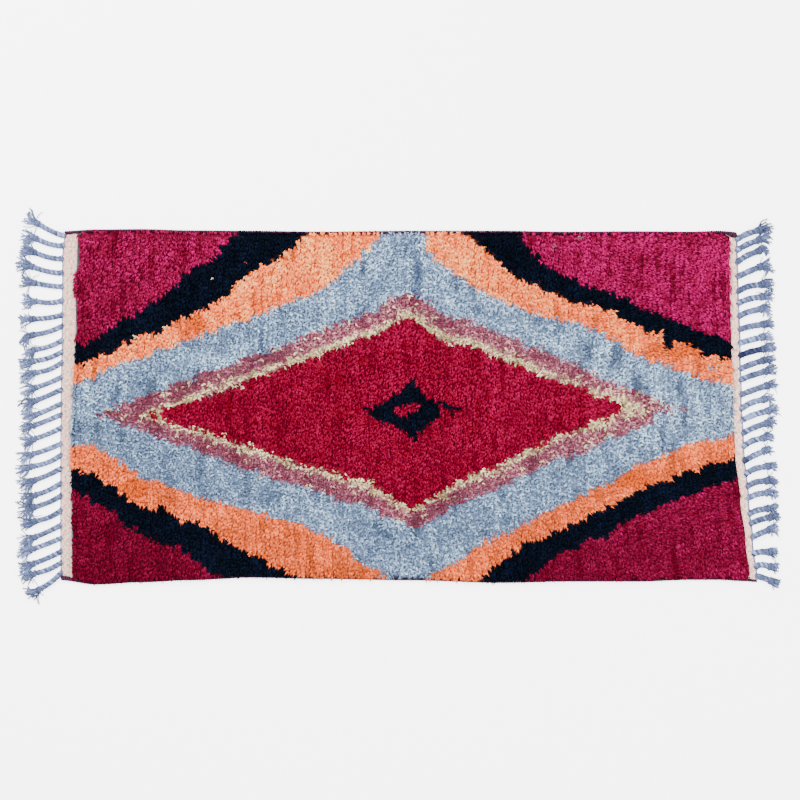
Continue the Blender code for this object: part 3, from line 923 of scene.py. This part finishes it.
def tuft_shade(x, y, yarn, row, chance):
    """Lightness of one tuft: painted broad light, lighter towards the far edge and the right end, streaks
    along the rows of knots with painted shade where rows part, patches and chance.
    """
    middle, across, along, contrast = PILE_LIGHT[yarn]
    patch = noise.noise(Vector((x / 0.045, y / 0.045, 5.1)))
    broad = noise.noise(Vector((x / 0.140, y / 0.140, 8.8)))
    streak = row_streak(row, y)
    uneven = 0.22 * streak + 0.26 * patch + 0.14 * broad + chance.uniform(-0.17, 0.17)
    # painted shade: the rows that part most are made darker, as the grooves between rows would be
    uneven -= 1.4 * max(0.0, -0.30 - streak)
    # painted light: lighter towards the far edge and towards the right end
    shade = middle + across * y / LIGHT_ACROSS + along * x / LIGHT_ALONG + contrast * uneven
    # painted shade of the grooves where rows part, at listed places
    for at, up, half_length, half_width, strength in STREAKS:
        if ((x - at) / half_length) ** 2 + ((y - up) / half_width) ** 2 <= 1.0:
            shade -= strength
    return shade


def tuft_tint(x, y, yarn, chance):
    """How much of its second colour a tuft shows."""
    for spot in TINTED_SPOTS:
        if spot[0] == yarn and in_spot(x, y, spot):
            return chance.uniform(spot[5], 1.0)
    stray = noise.noise(Vector((x / 0.016, y / 0.022, 9.4)))
    often = 0.16 if yarn == "dusty_pink" else 0.03
    return max(0.0, 1.6 * (stray - 0.35)) + (0.8 if chance.random() < often else 0.0)


def comb_heading(x, y):
    """Which way the pile lies: towards the near edge, turned aside at the right end."""
    share = max(0.0, min(1.0, (x - 0.18) / 0.42))
    swing = math.radians(68.0 if y > 0.0 else 42.0) * share * share * (3.0 - 2.0 * share)
    return -0.5 * math.pi + swing + 0.9 * noise.noise(Vector((x / 0.10, y / 0.12, 6.3)))


def planned_tuft(x, y, yarn, turn, tilt, facing, size, shade, chance):
    """One tuft as a row of values: place, turn, size, shade, tint and form."""
    form = chance.randrange(TUFT_FORMS) + (TUFT_FORMS if yarn in CURLY_YARNS else 0)
    place = (x, y, pile_height(x, y) - TUFT_ROOT_DROP)
    return place, tuft_turn(turn, tilt, facing), size, shade, tuft_tint(x, y, yarn, chance), form


def in_bare_stretch(y):
    """Where the pile stands back from the left band and shows a grey-teal line."""
    return any(low < y < high for low, high in BARE_STRETCHES)


def plan_tufts():
    """Every tuft of the pile, sorted by its yarn."""
    chance = random.Random(73)
    planned = {yarn: [] for yarn in YARNS}
    length = right_pile(0.0) - left_pile(0.0)
    width = far_inner(0.0) - near_inner(0.0)
    rows, knots = round(length / ROW_PITCH), round(width / KNOT_PITCH)
    for row in range(rows + 1):
        for knot in range(knots + 1):
            u, v = row / rows, min(1.0, (knot + 0.5 * (row % 2)) / knots)
            x, y = place_in_outline(u, v, left_pile, right_pile, PILE_CLEAR)
            x += (1.0 - u) * END_INSET["left"] - u * END_INSET["right"]
            x += BARE_INSET if row == 0 and in_bare_stretch(y) else 0.0
            drift = ROW_DRIFT if row < rows else 0.0
            x += chance.uniform(-KNOT_SHIFT, KNOT_SHIFT) + drift * row_streak(row + 100.0, y)
            y += chance.uniform(-KNOT_SHIFT, KNOT_SHIFT)
            inside = rim_distance(x, y)
            turn = comb_heading(x, y) + chance.gauss(0.0, 0.22)
            tilt, facing, size = chance.uniform(-0.22, 0.22), 0.0, chance.uniform(0.88, 1.16)
            if inside < ROW_PITCH:
                out_x = (u > 1.0 - 0.8 / rows) - (u < 0.8 / rows)
                out_y = (v > 1.0 - 0.8 / knots) - (v < 0.8 / knots)
                facing = math.atan2(out_y, out_x)
                tilt = RIM_LEAN * chance.uniform(0.1, 0.7)
            if row == rows:
                turn -= LAST_ROW_TURN
            if v < 0.9 / knots:
                y += NEAR_INSET
                size *= 0.82
            elif v > 1.0 - 0.9 / knots:
                y -= FAR_INSET
                size *= 0.66
                turn = facing + chance.uniform(-0.9, 0.9) if chance.random() < FAR_OUT else turn
            elif v > 1.0 - 1.9 / knots:
                y += SECOND_ROW_OUT
            yarn = yarn_at(x, y, chance.uniform(-0.002, 0.002))
            other, share = MIXED_IN.get(yarn, (yarn, 0.0))
            yarn = other if chance.random() < share else yarn
            shade = tuft_shade(x, y, yarn, row, chance)
            planned[yarn].append(planned_tuft(x, y, yarn, turn, tilt, facing, size, shade, chance))
    for yarn, start, end, number, size in KNOT_LINES:
        for i in range(number):
            share = i / max(1, number - 1)
            x, y = (start[axis] + share * (end[axis] - start[axis]) for axis in (0, 1))
            turn = comb_heading(x, y) + chance.gauss(0.0, 0.3)
            shade = {"ecru": 0.6, "wine_red": 1.0}.get(yarn, 0.4)
            (px, py, pz), *rest = planned_tuft(x, y, yarn, turn, 0.0, 0.0, size, shade, chance)
            planned[yarn].append(((px, py, pz + TUFT_HEIGHT * (1.25 - size)), *rest))
    return planned


def tuft_turn(turn, tilt, facing):
    """The turn of a tuft: about its own axis, then leaning towards where it faces."""
    spin = Euler((0.0, 0.0, turn - facing)).to_matrix()
    lean = Euler((0.0, tilt, 0.0)).to_matrix()
    face = Euler((0.0, 0.0, facing)).to_matrix()
    return tuple((face @ lean @ spin).to_euler())


def make_pile_tufts(planned, tree, group):
    forms = make_tuft_forms()
    pieces = []
    for yarn, tufts in planned.items():
        mesh = mesh_of(yarn + "_knots", [tuft[0] for tuft in tufts])
        store(mesh, "turn", [tuft[1] for tuft in tufts], "FLOAT_VECTOR")
        for name, column in (("size", 2), ("shade", 3), ("tint", 4)):
            store(mesh, name, [tuft[column] for tuft in tufts])
        store(mesh, "form", [tuft[5] for tuft in tufts], "INT")
        material = wool_material("wool_" + yarn, group, YARNS[yarn], 170.0, 900.0, 0.0005)
        item = grown("pile_" + yarn, mesh, tree, {"Tuft Forms": forms, "Material": material})
        for name in ("turn", "size", "form"):
            item.data.attributes.remove(item.data.attributes[name])
        pieces.append(keep(item, "pile"))
    for item in list(forms.objects):
        bpy.data.objects.remove(item, do_unlink=True)
    bpy.data.collections.remove(forms)
    return pieces


def dye_and_shade_at(x, y, darkness):
    """The colour of the knots' feet at a place, darker by a share; on the pile's feet that darkening is
    painted shade in the gaps between the tufts.
    """
    if x - left_pile(y) < 0.006 and in_bare_stretch(y):
        return (*TEAL_LINE, 1.0)
    return tuple(level * darkness for level in YARNS[yarn_at(x, y)][1]) + (1.0,)


def make_pile_base(group):
    """The matted feet of the pile: a low lumpy slab between the tufts, coloured darker than its yarns as
    painted shade in the gaps.
    """
    columns = round((right_pile(0.0) - left_pile(0.0)) / BASE_CELL)
    rows = round((far_inner(0.0) - near_inner(0.0)) / BASE_CELL)
    points, faces, dye_and_shade_colours, shades = [], [], [], []
    chance = random.Random(17)
    for i in range(columns + 1):
        for j in range(rows + 1):
            x, y = place_in_outline(i / columns, j / rows, left_pile, right_pile)
            rim = i in (0, columns) or j in (0, rows)
            points.append((x, y, WEAVE_THICK if rim else pile_height(x, y) - BASE_DROP))
            # the feet take their yarn's colour at six tenths: painted shade in the gaps between the tufts
            dye_and_shade_colours.append(dye_and_shade_at(x, y, 0.6))
            shades.append(chance.uniform(0.3, 0.6))
    high = rows + 1
    for i in range(columns):
        for j in range(rows):
            first = i * high + j
            faces.append((first, first + high, first + high + 1, first + 1))
    faces.append(tuple(rim_loop(columns, rows, high)))
    mesh = mesh_of("pile_feet", points, faces)
    store(mesh, "dye", dye_and_shade_colours, "FLOAT_COLOR")
    store(mesh, "shade", shades)
    mesh.materials.append(dyed_material("wool_feet", group, FEET_BUMP))
    return keep(shown_object("pile_feet", mesh), "pile")


def rim_loop(columns, rows, high):
    """The points round a grid, in the order that faces down."""
    loop = [j for j in range(rows)]
    loop += [i * high + rows for i in range(columns)]
    loop += [columns * high + j for j in range(rows, 0, -1)]
    loop += [i * high for i in range(columns, 0, -1)]
    return loop


# Ground weave

def band_grid(points, faces, dye_and_shade_colours, shades, left, right):
    """The ribbed end of the flat weave: ribs along the warps, crossed by fine weft yarns."""
    chance = random.Random(29)
    width = right(0.0) - left(0.0)
    columns = max(6, round(2.0 * width / WEFT_PITCH))
    rows = round(2.0 * (far_inner(0.0) - near_inner(0.0)) / RIB_PITCH)
    start = len(points)
    high = rows + 1
    for i in range(columns + 1):
        for j in range(high):
            x, y = place_in_outline(i / columns, j / rows, left, right, -TUCK)
            rim = i in (0, columns) or j in (0, rows)
            rib = RIB_HEIGHT * (0.5 if j % 2 else -0.5) + WEFT_HEIGHT * (0.5 if (i + j // 2) % 2 else -0.5)
            points.append((x, y, FLOOR_GAP if rim else WEAVE_THICK + rib))
            dye_and_shade_colours.append(band_dye(x, y))
            shades.append(0.50 + 0.20 * (j % 2) + chance.uniform(-0.30, 0.30))
    for i in range(columns):
        for j in range(rows):
            first = start + i * high + j
            faces.append((first, first + high, first + high + 1, first + 1))
    faces.append(tuple(start + index for index in rim_loop(columns, rows, high)))


CREAM = linear(220, 188, 172)
CREAM_PINK = linear(230, 176, 162)
TEAL_LINE = linear(84, 104, 112)


def band_dye(x, y):
    """Cream weft, pinker in places, mottled and a little brighter towards the right end, with a thin
    grey-teal line beside the left pile.
    """
    reach = 0.0012 if in_bare_stretch(y) else 0.0034
    if -reach < x - left_pile(y) < UNDER_PILE and x < 0.0:
        return (*TEAL_LINE, 1.0)
    share = 0.5 + 0.5 * noise.noise(Vector((x / 0.02, y / 0.05, 4.0)))
    light = 0.98 + 0.14 * x / LONG_EDGES[-1][0]
    light *= 1.0 + 0.9 * noise.noise(Vector((x / 0.0045, y / 0.0045, 12.0)))
    return tuple(light * (a + share * (b - a)) for a, b in zip(CREAM, CREAM_PINK)) + (1.0,)


def knot_back_grid(points, faces, dye_and_shade_colours, shades, left, right):
    """The middle of the weave. Its underside shows the back of every knot in its own colour."""
    columns = round((right(0.0) - left(0.0)) / KNOT_BACK_CELL)
    rows = round((far_inner(0.0) - near_inner(0.0)) / KNOT_BACK_CELL)
    start = len(points)
    high = rows + 1
    chance = random.Random(31)
    for i in range(columns + 1):
        for j in range(high):
            x, y = place_in_outline(i / columns, j / rows, left, right, -TUCK)
            rim = i in (0, columns) or j in (0, rows)
            points.append((x, y, WEAVE_THICK - 0.0002 if rim else FLOOR_GAP + 0.0004 * ((i + j) % 2)))
            dye_and_shade_colours.append(dye_and_shade_at(x, y, 0.9))
            shades.append(chance.uniform(0.35, 0.65))
    for i in range(columns):
        for j in range(rows):
            first = start + i * high + j
            faces.append((first, first + 1, first + high + 1, first + high))
    faces.append(tuple(start + index for index in reversed(rim_loop(columns, rows, high))))


def make_ground_weave(group):
    points, faces, dye_and_shade_colours, shades = [], [], [], []

    def left_seam(y):
        return left_pile(y) + UNDER_PILE

    def right_seam(y):
        return right_pile(y) - UNDER_PILE

    band_grid(points, faces, dye_and_shade_colours, shades, left_weave, left_seam)
    knot_back_grid(points, faces, dye_and_shade_colours, shades, left_seam, right_seam)
    band_grid(points, faces, dye_and_shade_colours, shades, right_seam, right_weave)
    mesh = mesh_of("ground_cloth", points, faces)
    store(mesh, "dye", dye_and_shade_colours, "FLOAT_COLOR")
    store(mesh, "shade", shades)
    mesh.materials.append(dyed_material("cream_flatweave", group, WEAVE_BUMP))
    return keep(shown_object("ground_cloth", mesh), "ground_weave")


# Yarns along paths

class YarnLines:
    """Lines of points for the swept yarns, each point with its thickness, shade and tint."""

    def __init__(self):
        self.points, self.edges = [], []
        self.thick, self.shade, self.tint, self.along = [], [], [], []

    def add(self, path, thick, shade, tint=0.0, along=1.0):
        """Add one line. Each value is one number, or one number for each point."""
        start, count = len(self.points), len(path)
        self.points += [tuple(point) for point in path]
        self.edges += [(start + i, start + i + 1) for i in range(count - 1)]
        columns = ((self.thick, thick), (self.shade, shade), (self.tint, tint), (self.along, along))
        for store_in, value in columns:
            store_in += list(value) if hasattr(value, "__len__") else [value] * count

    def mesh(self, name):
        mesh = mesh_of(name, self.points, edges=self.edges)
        for label in ("thick", "shade", "tint", "along"):
            store(mesh, label, getattr(self, label))
        return mesh


def make_selvedge(name, edge, column, outward, tree, material):
    """An overcast edge: one yarn wound round and round the edge's warps, pulled in by turns."""
    start = left_weave(edge(LONG_EDGES[0][0]))
    end = right_weave(edge(LONG_EDGES[-1][0]))
    turns = round((end - start) / WRAP_PITCH)
    chance = random.Random(len(name))
    lines = YarnLines()
    core = []
    for i in range(turns + 1):
        x = start + (end - start) * i / turns
        radius = eased(SELVEDGE_RADII, column, x)
        core.append((x, edge(x) - outward * radius, radius, radius - WRAP_YARN))
    lines.add([point[:3] for point in core], [point[3] for point in core], 0.35)
    path, thick = [], []
    for i in range(turns * WRAP_STEPS + 1):
        x = start + (end - start) * i / (turns * WRAP_STEPS)
        radius = eased(SELVEDGE_RADII, column, x)
        angle = 2.0 * math.pi * i / WRAP_STEPS
        reach = radius - WRAP_YARN + chance.uniform(-0.0002, 0.0002)
        y = edge(x) - outward * radius + reach * math.sin(angle)
        path.append((x, y, radius + reach * math.cos(angle)))
        thick.append(WRAP_YARN * 1.15)
    lines.add(path, thick, 0.6)
    item = grown(name + "_wraps", lines.mesh(name), tree, {"Sides": 4, "Material": material})
    return keep(item, name)


def tassel_plan(side):
    """Each tassel of a fringe: its root, its knot, its brush's turn and length, and its bow."""
    _, direction, first, last, seed = FRINGES[side]
    chance = random.Random(seed)
    weave = left_weave if side == "left" else right_weave
    plan = []
    for i in range(TASSELS):
        share = i / (TASSELS - 1)
        sweep, cord, tail = (eased(ROWS[side], column, share) for column in (1, 2, 3))
        sweep += chance.uniform(-KNOT_JITTER, KNOT_JITTER)
        cord += chance.uniform(-LENGTH_JITTER, LENGTH_JITTER)
        tail += chance.uniform(-LENGTH_JITTER, LENGTH_JITTER)
        root_y = first + share * (last - first) + 0.001 * ROOT_SHIFTS[side][i]
        root = Vector((weave(root_y), root_y, 0.0))
        knot = root + Vector((direction * math.sqrt(cord * cord - sweep * sweep), sweep, 0.0))
        turn = chance.uniform(-TURN_JITTER, TURN_JITTER)
        plan.append((root, knot, turn, tail, chance.uniform(*CORD_BOW)))
    return plan


def add_cord(lines, root, knot, bow, bulk, shade, dark_to, chance):
    """Two plies twisted round each other from the weave to the knot."""
    forward = (knot - root).normalized()
    across = Vector((-forward.y, forward.x, 0.0))
    start = root - forward * 0.003
    reach = (knot - start).length
    steps = round(reach / PLY_STEP)
    phase = chance.uniform(0.0, math.pi)
    for ply in range(2):
        path, thick, shades, tint = [], [], [], []
        for i in range(steps + 1):
            share = i / steps
            angle = phase + math.pi * ply + 2.0 * math.pi * share * reach / PLY_PITCH
            middle = start + forward * (reach * share) + across * (bow * math.sin(math.pi * share))
            grown_to = bulk * min(1.0, ROOT_SHARE + share * 4.0)
            radius, orbit = PLY_RADIUS * grown_to, PLY_ORBIT * grown_to
            height = FLOOR_GAP + PLY_RISE * orbit + radius
            aside = across * (orbit * math.cos(angle))
            path.append(middle + aside + Vector((0.0, 0.0, height + PLY_RISE * orbit * math.sin(angle))))
            thick.append(radius)
            mottle = noise.noise(Vector((share * reach / 0.005, 9.0 * phase, 3.0 * ply)))
            shades.append(shade + (0.15 if ply else -0.11) + 0.7 * mottle)
            tint.append(1.0 if share < dark_to else 0.0)
        lines.add(path, thick, shades, tint)


def add_gathers(lines, root, knot, weave, direction, shade, dark, chance):
    """Warps that come out of the weave on both sides of a cord and run into it."""
    forward = (knot - root).normalized()
    for aside in GATHERS:
        y = root.y + aside * chance.uniform(0.8, 1.1)
        start = Vector((weave(y) - direction * 0.0020, y, 0.0018))
        end = root + forward * (0.004 + 1.1 * abs(aside)) + Vector((0.0, 0.0, 0.0040))
        middle = start.lerp(end, 0.5) + Vector((direction * -0.0012, 0.0, 0.0004))
        thick = (0.0011, 0.0016, 0.0018)
        lines.add([start, middle, end], thick, shade + chance.uniform(-0.25, 0.2), 0.8 * dark)


def add_knot(lines, centre, forward, bulk, shade, tint, chance):
    """An overhand knot: a yarn that goes twice round the cord and crosses itself."""
    across = Vector((-forward.y, forward.x, 0.0))
    up = Vector((0.0, 0.0, 1.0))
    phase = chance.uniform(0.0, 2.0 * math.pi)
    path = []
    for i in range(KNOT_POINTS + 1):
        angle = 4.0 * math.pi * i / KNOT_POINTS
        round_it = across * math.cos(angle + phase) + up * (KNOT_RISE * math.sin(angle + phase))
        along = forward * (0.0036 * math.sin(0.5 * angle + phase))
        path.append(centre + round_it * (bulk * KNOT_ORBIT) + along + up * (bulk * KNOT_Z))
    lines.add(path, bulk * KNOT_YARN, shade, tint)


def add_brush(lines, fork, forward, turn, wide, bulk, tail, reach, shade, chance):
    """A loose brush beyond the knot: bent strands in three locks, and a few that stray sideways."""
    along = math.atan2(forward.y, forward.x)
    for number in range(TAIL_STRANDS):
        heading = along + wide * (TAIL_SPREAD * (number % 3 - 1) * 1.2 + chance.uniform(-0.24, 0.24))
        bend = turn + wide * chance.gauss(0.0, 0.30)
        length = (tail - KNOT_MIDDLE * KNOT_LENGTH) * chance.uniform(*reach)
        yarn = TAIL_YARN
        if number < TAIL_STRAYS:
            yarn = STRAY_YARN
            heading += chance.choice((-0.7, 0.7))
            bend += chance.choice((-1.1, 1.1))
        sway, waves = chance.uniform(0.08, 0.34), chance.uniform(0.6, 1.3)
        phase, offset = chance.uniform(0.0, 6.28), bulk * chance.uniform(-0.0058, 0.0058)
        low = chance.uniform(0.0025, 0.0058)
        place = fork + Vector((-forward.y, forward.x, 0.0)) * offset
        tone = shade + chance.uniform(-0.30, 0.25)
        path, thick, shades = [], [], []
        for i in range(TAIL_POINTS):
            share = i / (TAIL_POINTS - 1)
            level = CORD_Z + min(1.0, 2.5 * share) * (low - CORD_Z)
            path.append(place + Vector((0.0, 0.0, level)))
            thick.append(yarn * (1.08 - 0.34 * share) * chance.uniform(0.85, 1.15))
            shades.append(tone - 0.12 + 0.36 * share)
            way = heading + bend * min(1.0, 1.5 * share)
            way += sway * math.sin(phase + waves * 2.0 * math.pi * share)
            place = place + Vector((math.cos(way), math.sin(way), 0.0)) * (length / (TAIL_POINTS - 1))
        lines.add(path, thick, shades)


def add_twine(lines, side, weave, direction):
    """Two thin yarns twined along the outer edge of a band, over the warps."""
    radius, shade = TWINE[side]
    low, high = near_inner(weave(0.0)), far_inner(weave(0.0))
    steps = round((high - low) / TWINE_PITCH * 4.0)
    for ply in range(2):
        path = []
        for i in range(steps + 1):
            y = low + (high - low) * i / steps
            angle = math.pi * ply + 0.5 * math.pi * i
            x = weave(y) + direction * (radius + 0.0007 * math.cos(angle))
            path.append((x, y, FLOOR_GAP + radius + 0.0007 * (1.0 + math.sin(angle))))
        lines.add(path, radius, shade + (0.15 if ply else -0.15))


def make_fringe(side, tree, material):
    node_name, direction = FRINGES[side][:2]
    weave = left_weave if side == "left" else right_weave
    chance = random.Random(FRINGES[side][4] + 100)
    cords, tails = YarnLines(), YarnLines()
    dark = dict(DARK_TASSELS[side])
    bulk = CORD_BULK[side]
    for index, (root, knot, turn, tail, bow) in enumerate(tassel_plan(side)):
        forward = (knot - root).normalized()
        shade = 0.37 + chance.uniform(-0.14, 0.14)
        dark_to = dark.get(index, 0.0)
        add_cord(cords, root, knot, bow, bulk, shade, dark_to, chance)
        add_gathers(tails, root, knot, weave, direction, shade, min(1.0, 2.0 * dark_to), chance)
        centre = knot + forward * (KNOT_MIDDLE * KNOT_LENGTH)
        add_knot(cords, centre, forward, bulk, shade - 0.1, 0.35 if dark_to >= 1.0 else 0.12, chance)
        turn += math.radians(BRUSH_TURNS[side][index])
        wide = 1.5 if index in WIDE_BRUSHES[side] else 1.0
        fork = centre + forward * 0.002
        add_brush(tails, fork, forward, turn, wide, bulk, tail, TAIL_REACH[side], shade, chance)
    add_twine(tails, side, weave, direction)
    for label, lines, sides in (("_cords", cords, 5), ("_tails", tails, 3)):
        mesh = lines.mesh(node_name + label)
        item = grown(node_name + label, mesh, tree, {"Sides": sides, "Material": material})
        keep(item, node_name)


# Floor, light and camera

def make_floor():
    mesh = mesh_of("floor", [(-4, -4, 0), (4, -4, 0), (4, 4, 0), (-4, 4, 0)], [(0, 1, 2, 3)])
    item = shown_object("floor", mesh, smooth=False)
    material = bpy.data.materials.new("pale_floor")
    material.use_nodes = True
    shader = material.node_tree.nodes["Principled BSDF"]
    shader.inputs["Base Color"].default_value = (0.94, 0.94, 0.94, 1.0)
    shader.inputs["Roughness"].default_value = 0.9
    shader.inputs["Specular IOR Level"].default_value = 0.1
    seen = node(material.node_tree, "ShaderNodeLightPath")
    material.node_tree.links.new(seen.outputs["Is Camera Ray"], shader.inputs["Emission Color"])
    shader.inputs["Emission Strength"].default_value = 3.2
    mesh.materials.append(material)


def make_light(name, place, aim, size, power):
    light = bpy.data.lights.new(name, "AREA")
    light.shape = "DISK"
    light.size = size
    light.energy = power
    item = bpy.data.objects.new(name, light)
    item.location = place
    item.rotation_euler = (Vector(aim) - Vector(place)).to_track_quat("-Z", "Y").to_euler()
    bpy.context.scene.collection.objects.link(item)


def make_world():
    world = bpy.data.worlds.new("studio")
    bpy.context.scene.world = world
    world.use_nodes = True
    background = world.node_tree.nodes["Background"]
    background.inputs["Color"].default_value = (1.0, 1.0, 1.0, 1.0)
    background.inputs["Strength"].default_value = 1.7


def make_camera():
    camera = bpy.data.cameras.new("overhead")
    camera.sensor_width = SENSOR
    camera.lens = SENSOR * (CAMERA_HEIGHT - PILE_TOP) / (FRAME_PIXELS * METRES_PER_PIXEL)
    camera.clip_end = 50.0
    item = bpy.data.objects.new("overhead", camera)
    middle = FRAME_PIXELS / 2
    item.location = (
        (middle - ORIGIN_PIXEL[0]) * METRES_PER_PIXEL,
        (ORIGIN_PIXEL[1] - middle) * METRES_PER_PIXEL,
        CAMERA_HEIGHT,
    )
    bpy.context.scene.collection.objects.link(item)
    bpy.context.scene.camera = item


def main():
    wool = wool_group()
    tufts, yarns = tuft_tree(), yarn_tree()
    ground = make_ground_weave(wool)
    feet = make_pile_base(wool)
    pile = make_pile_tufts(plan_tufts(), tufts, wool)
    plum = (linear(34, 10, 30), linear(56, 24, 48), linear(84, 46, 74), linear(20, 10, 32))
    plum_wool = wool_material("plum_overcast", wool, plum, 200.0, 1400.0, 0.0003)
    make_selvedge("selvedge_far", far_edge, 1, 1.0, yarns, plum_wool)
    make_selvedge("selvedge_near", near_edge, 2, -1.0, yarns, plum_wool)
    slate = (linear(54, 61, 86), linear(83, 92, 125), linear(140, 156, 198), linear(8, 15, 46))
    warp_wool = wool_material("blue_warp_yarn", wool, slate, 320.0, 1500.0, 0.0004)
    make_fringe("left", yarns, warp_wool)
    make_fringe("right", yarns, warp_wool)
    make_floor()
    make_world()
    make_light("window", (-1.6, 2.2, 3.4), (0.0, 0.0, 0.0), 2.4, 365.0)
    make_light("fill", (2.2, -1.4, 3.6), (0.0, 0.0, 0.0), 3.0, 135.0)
    make_camera()


main()
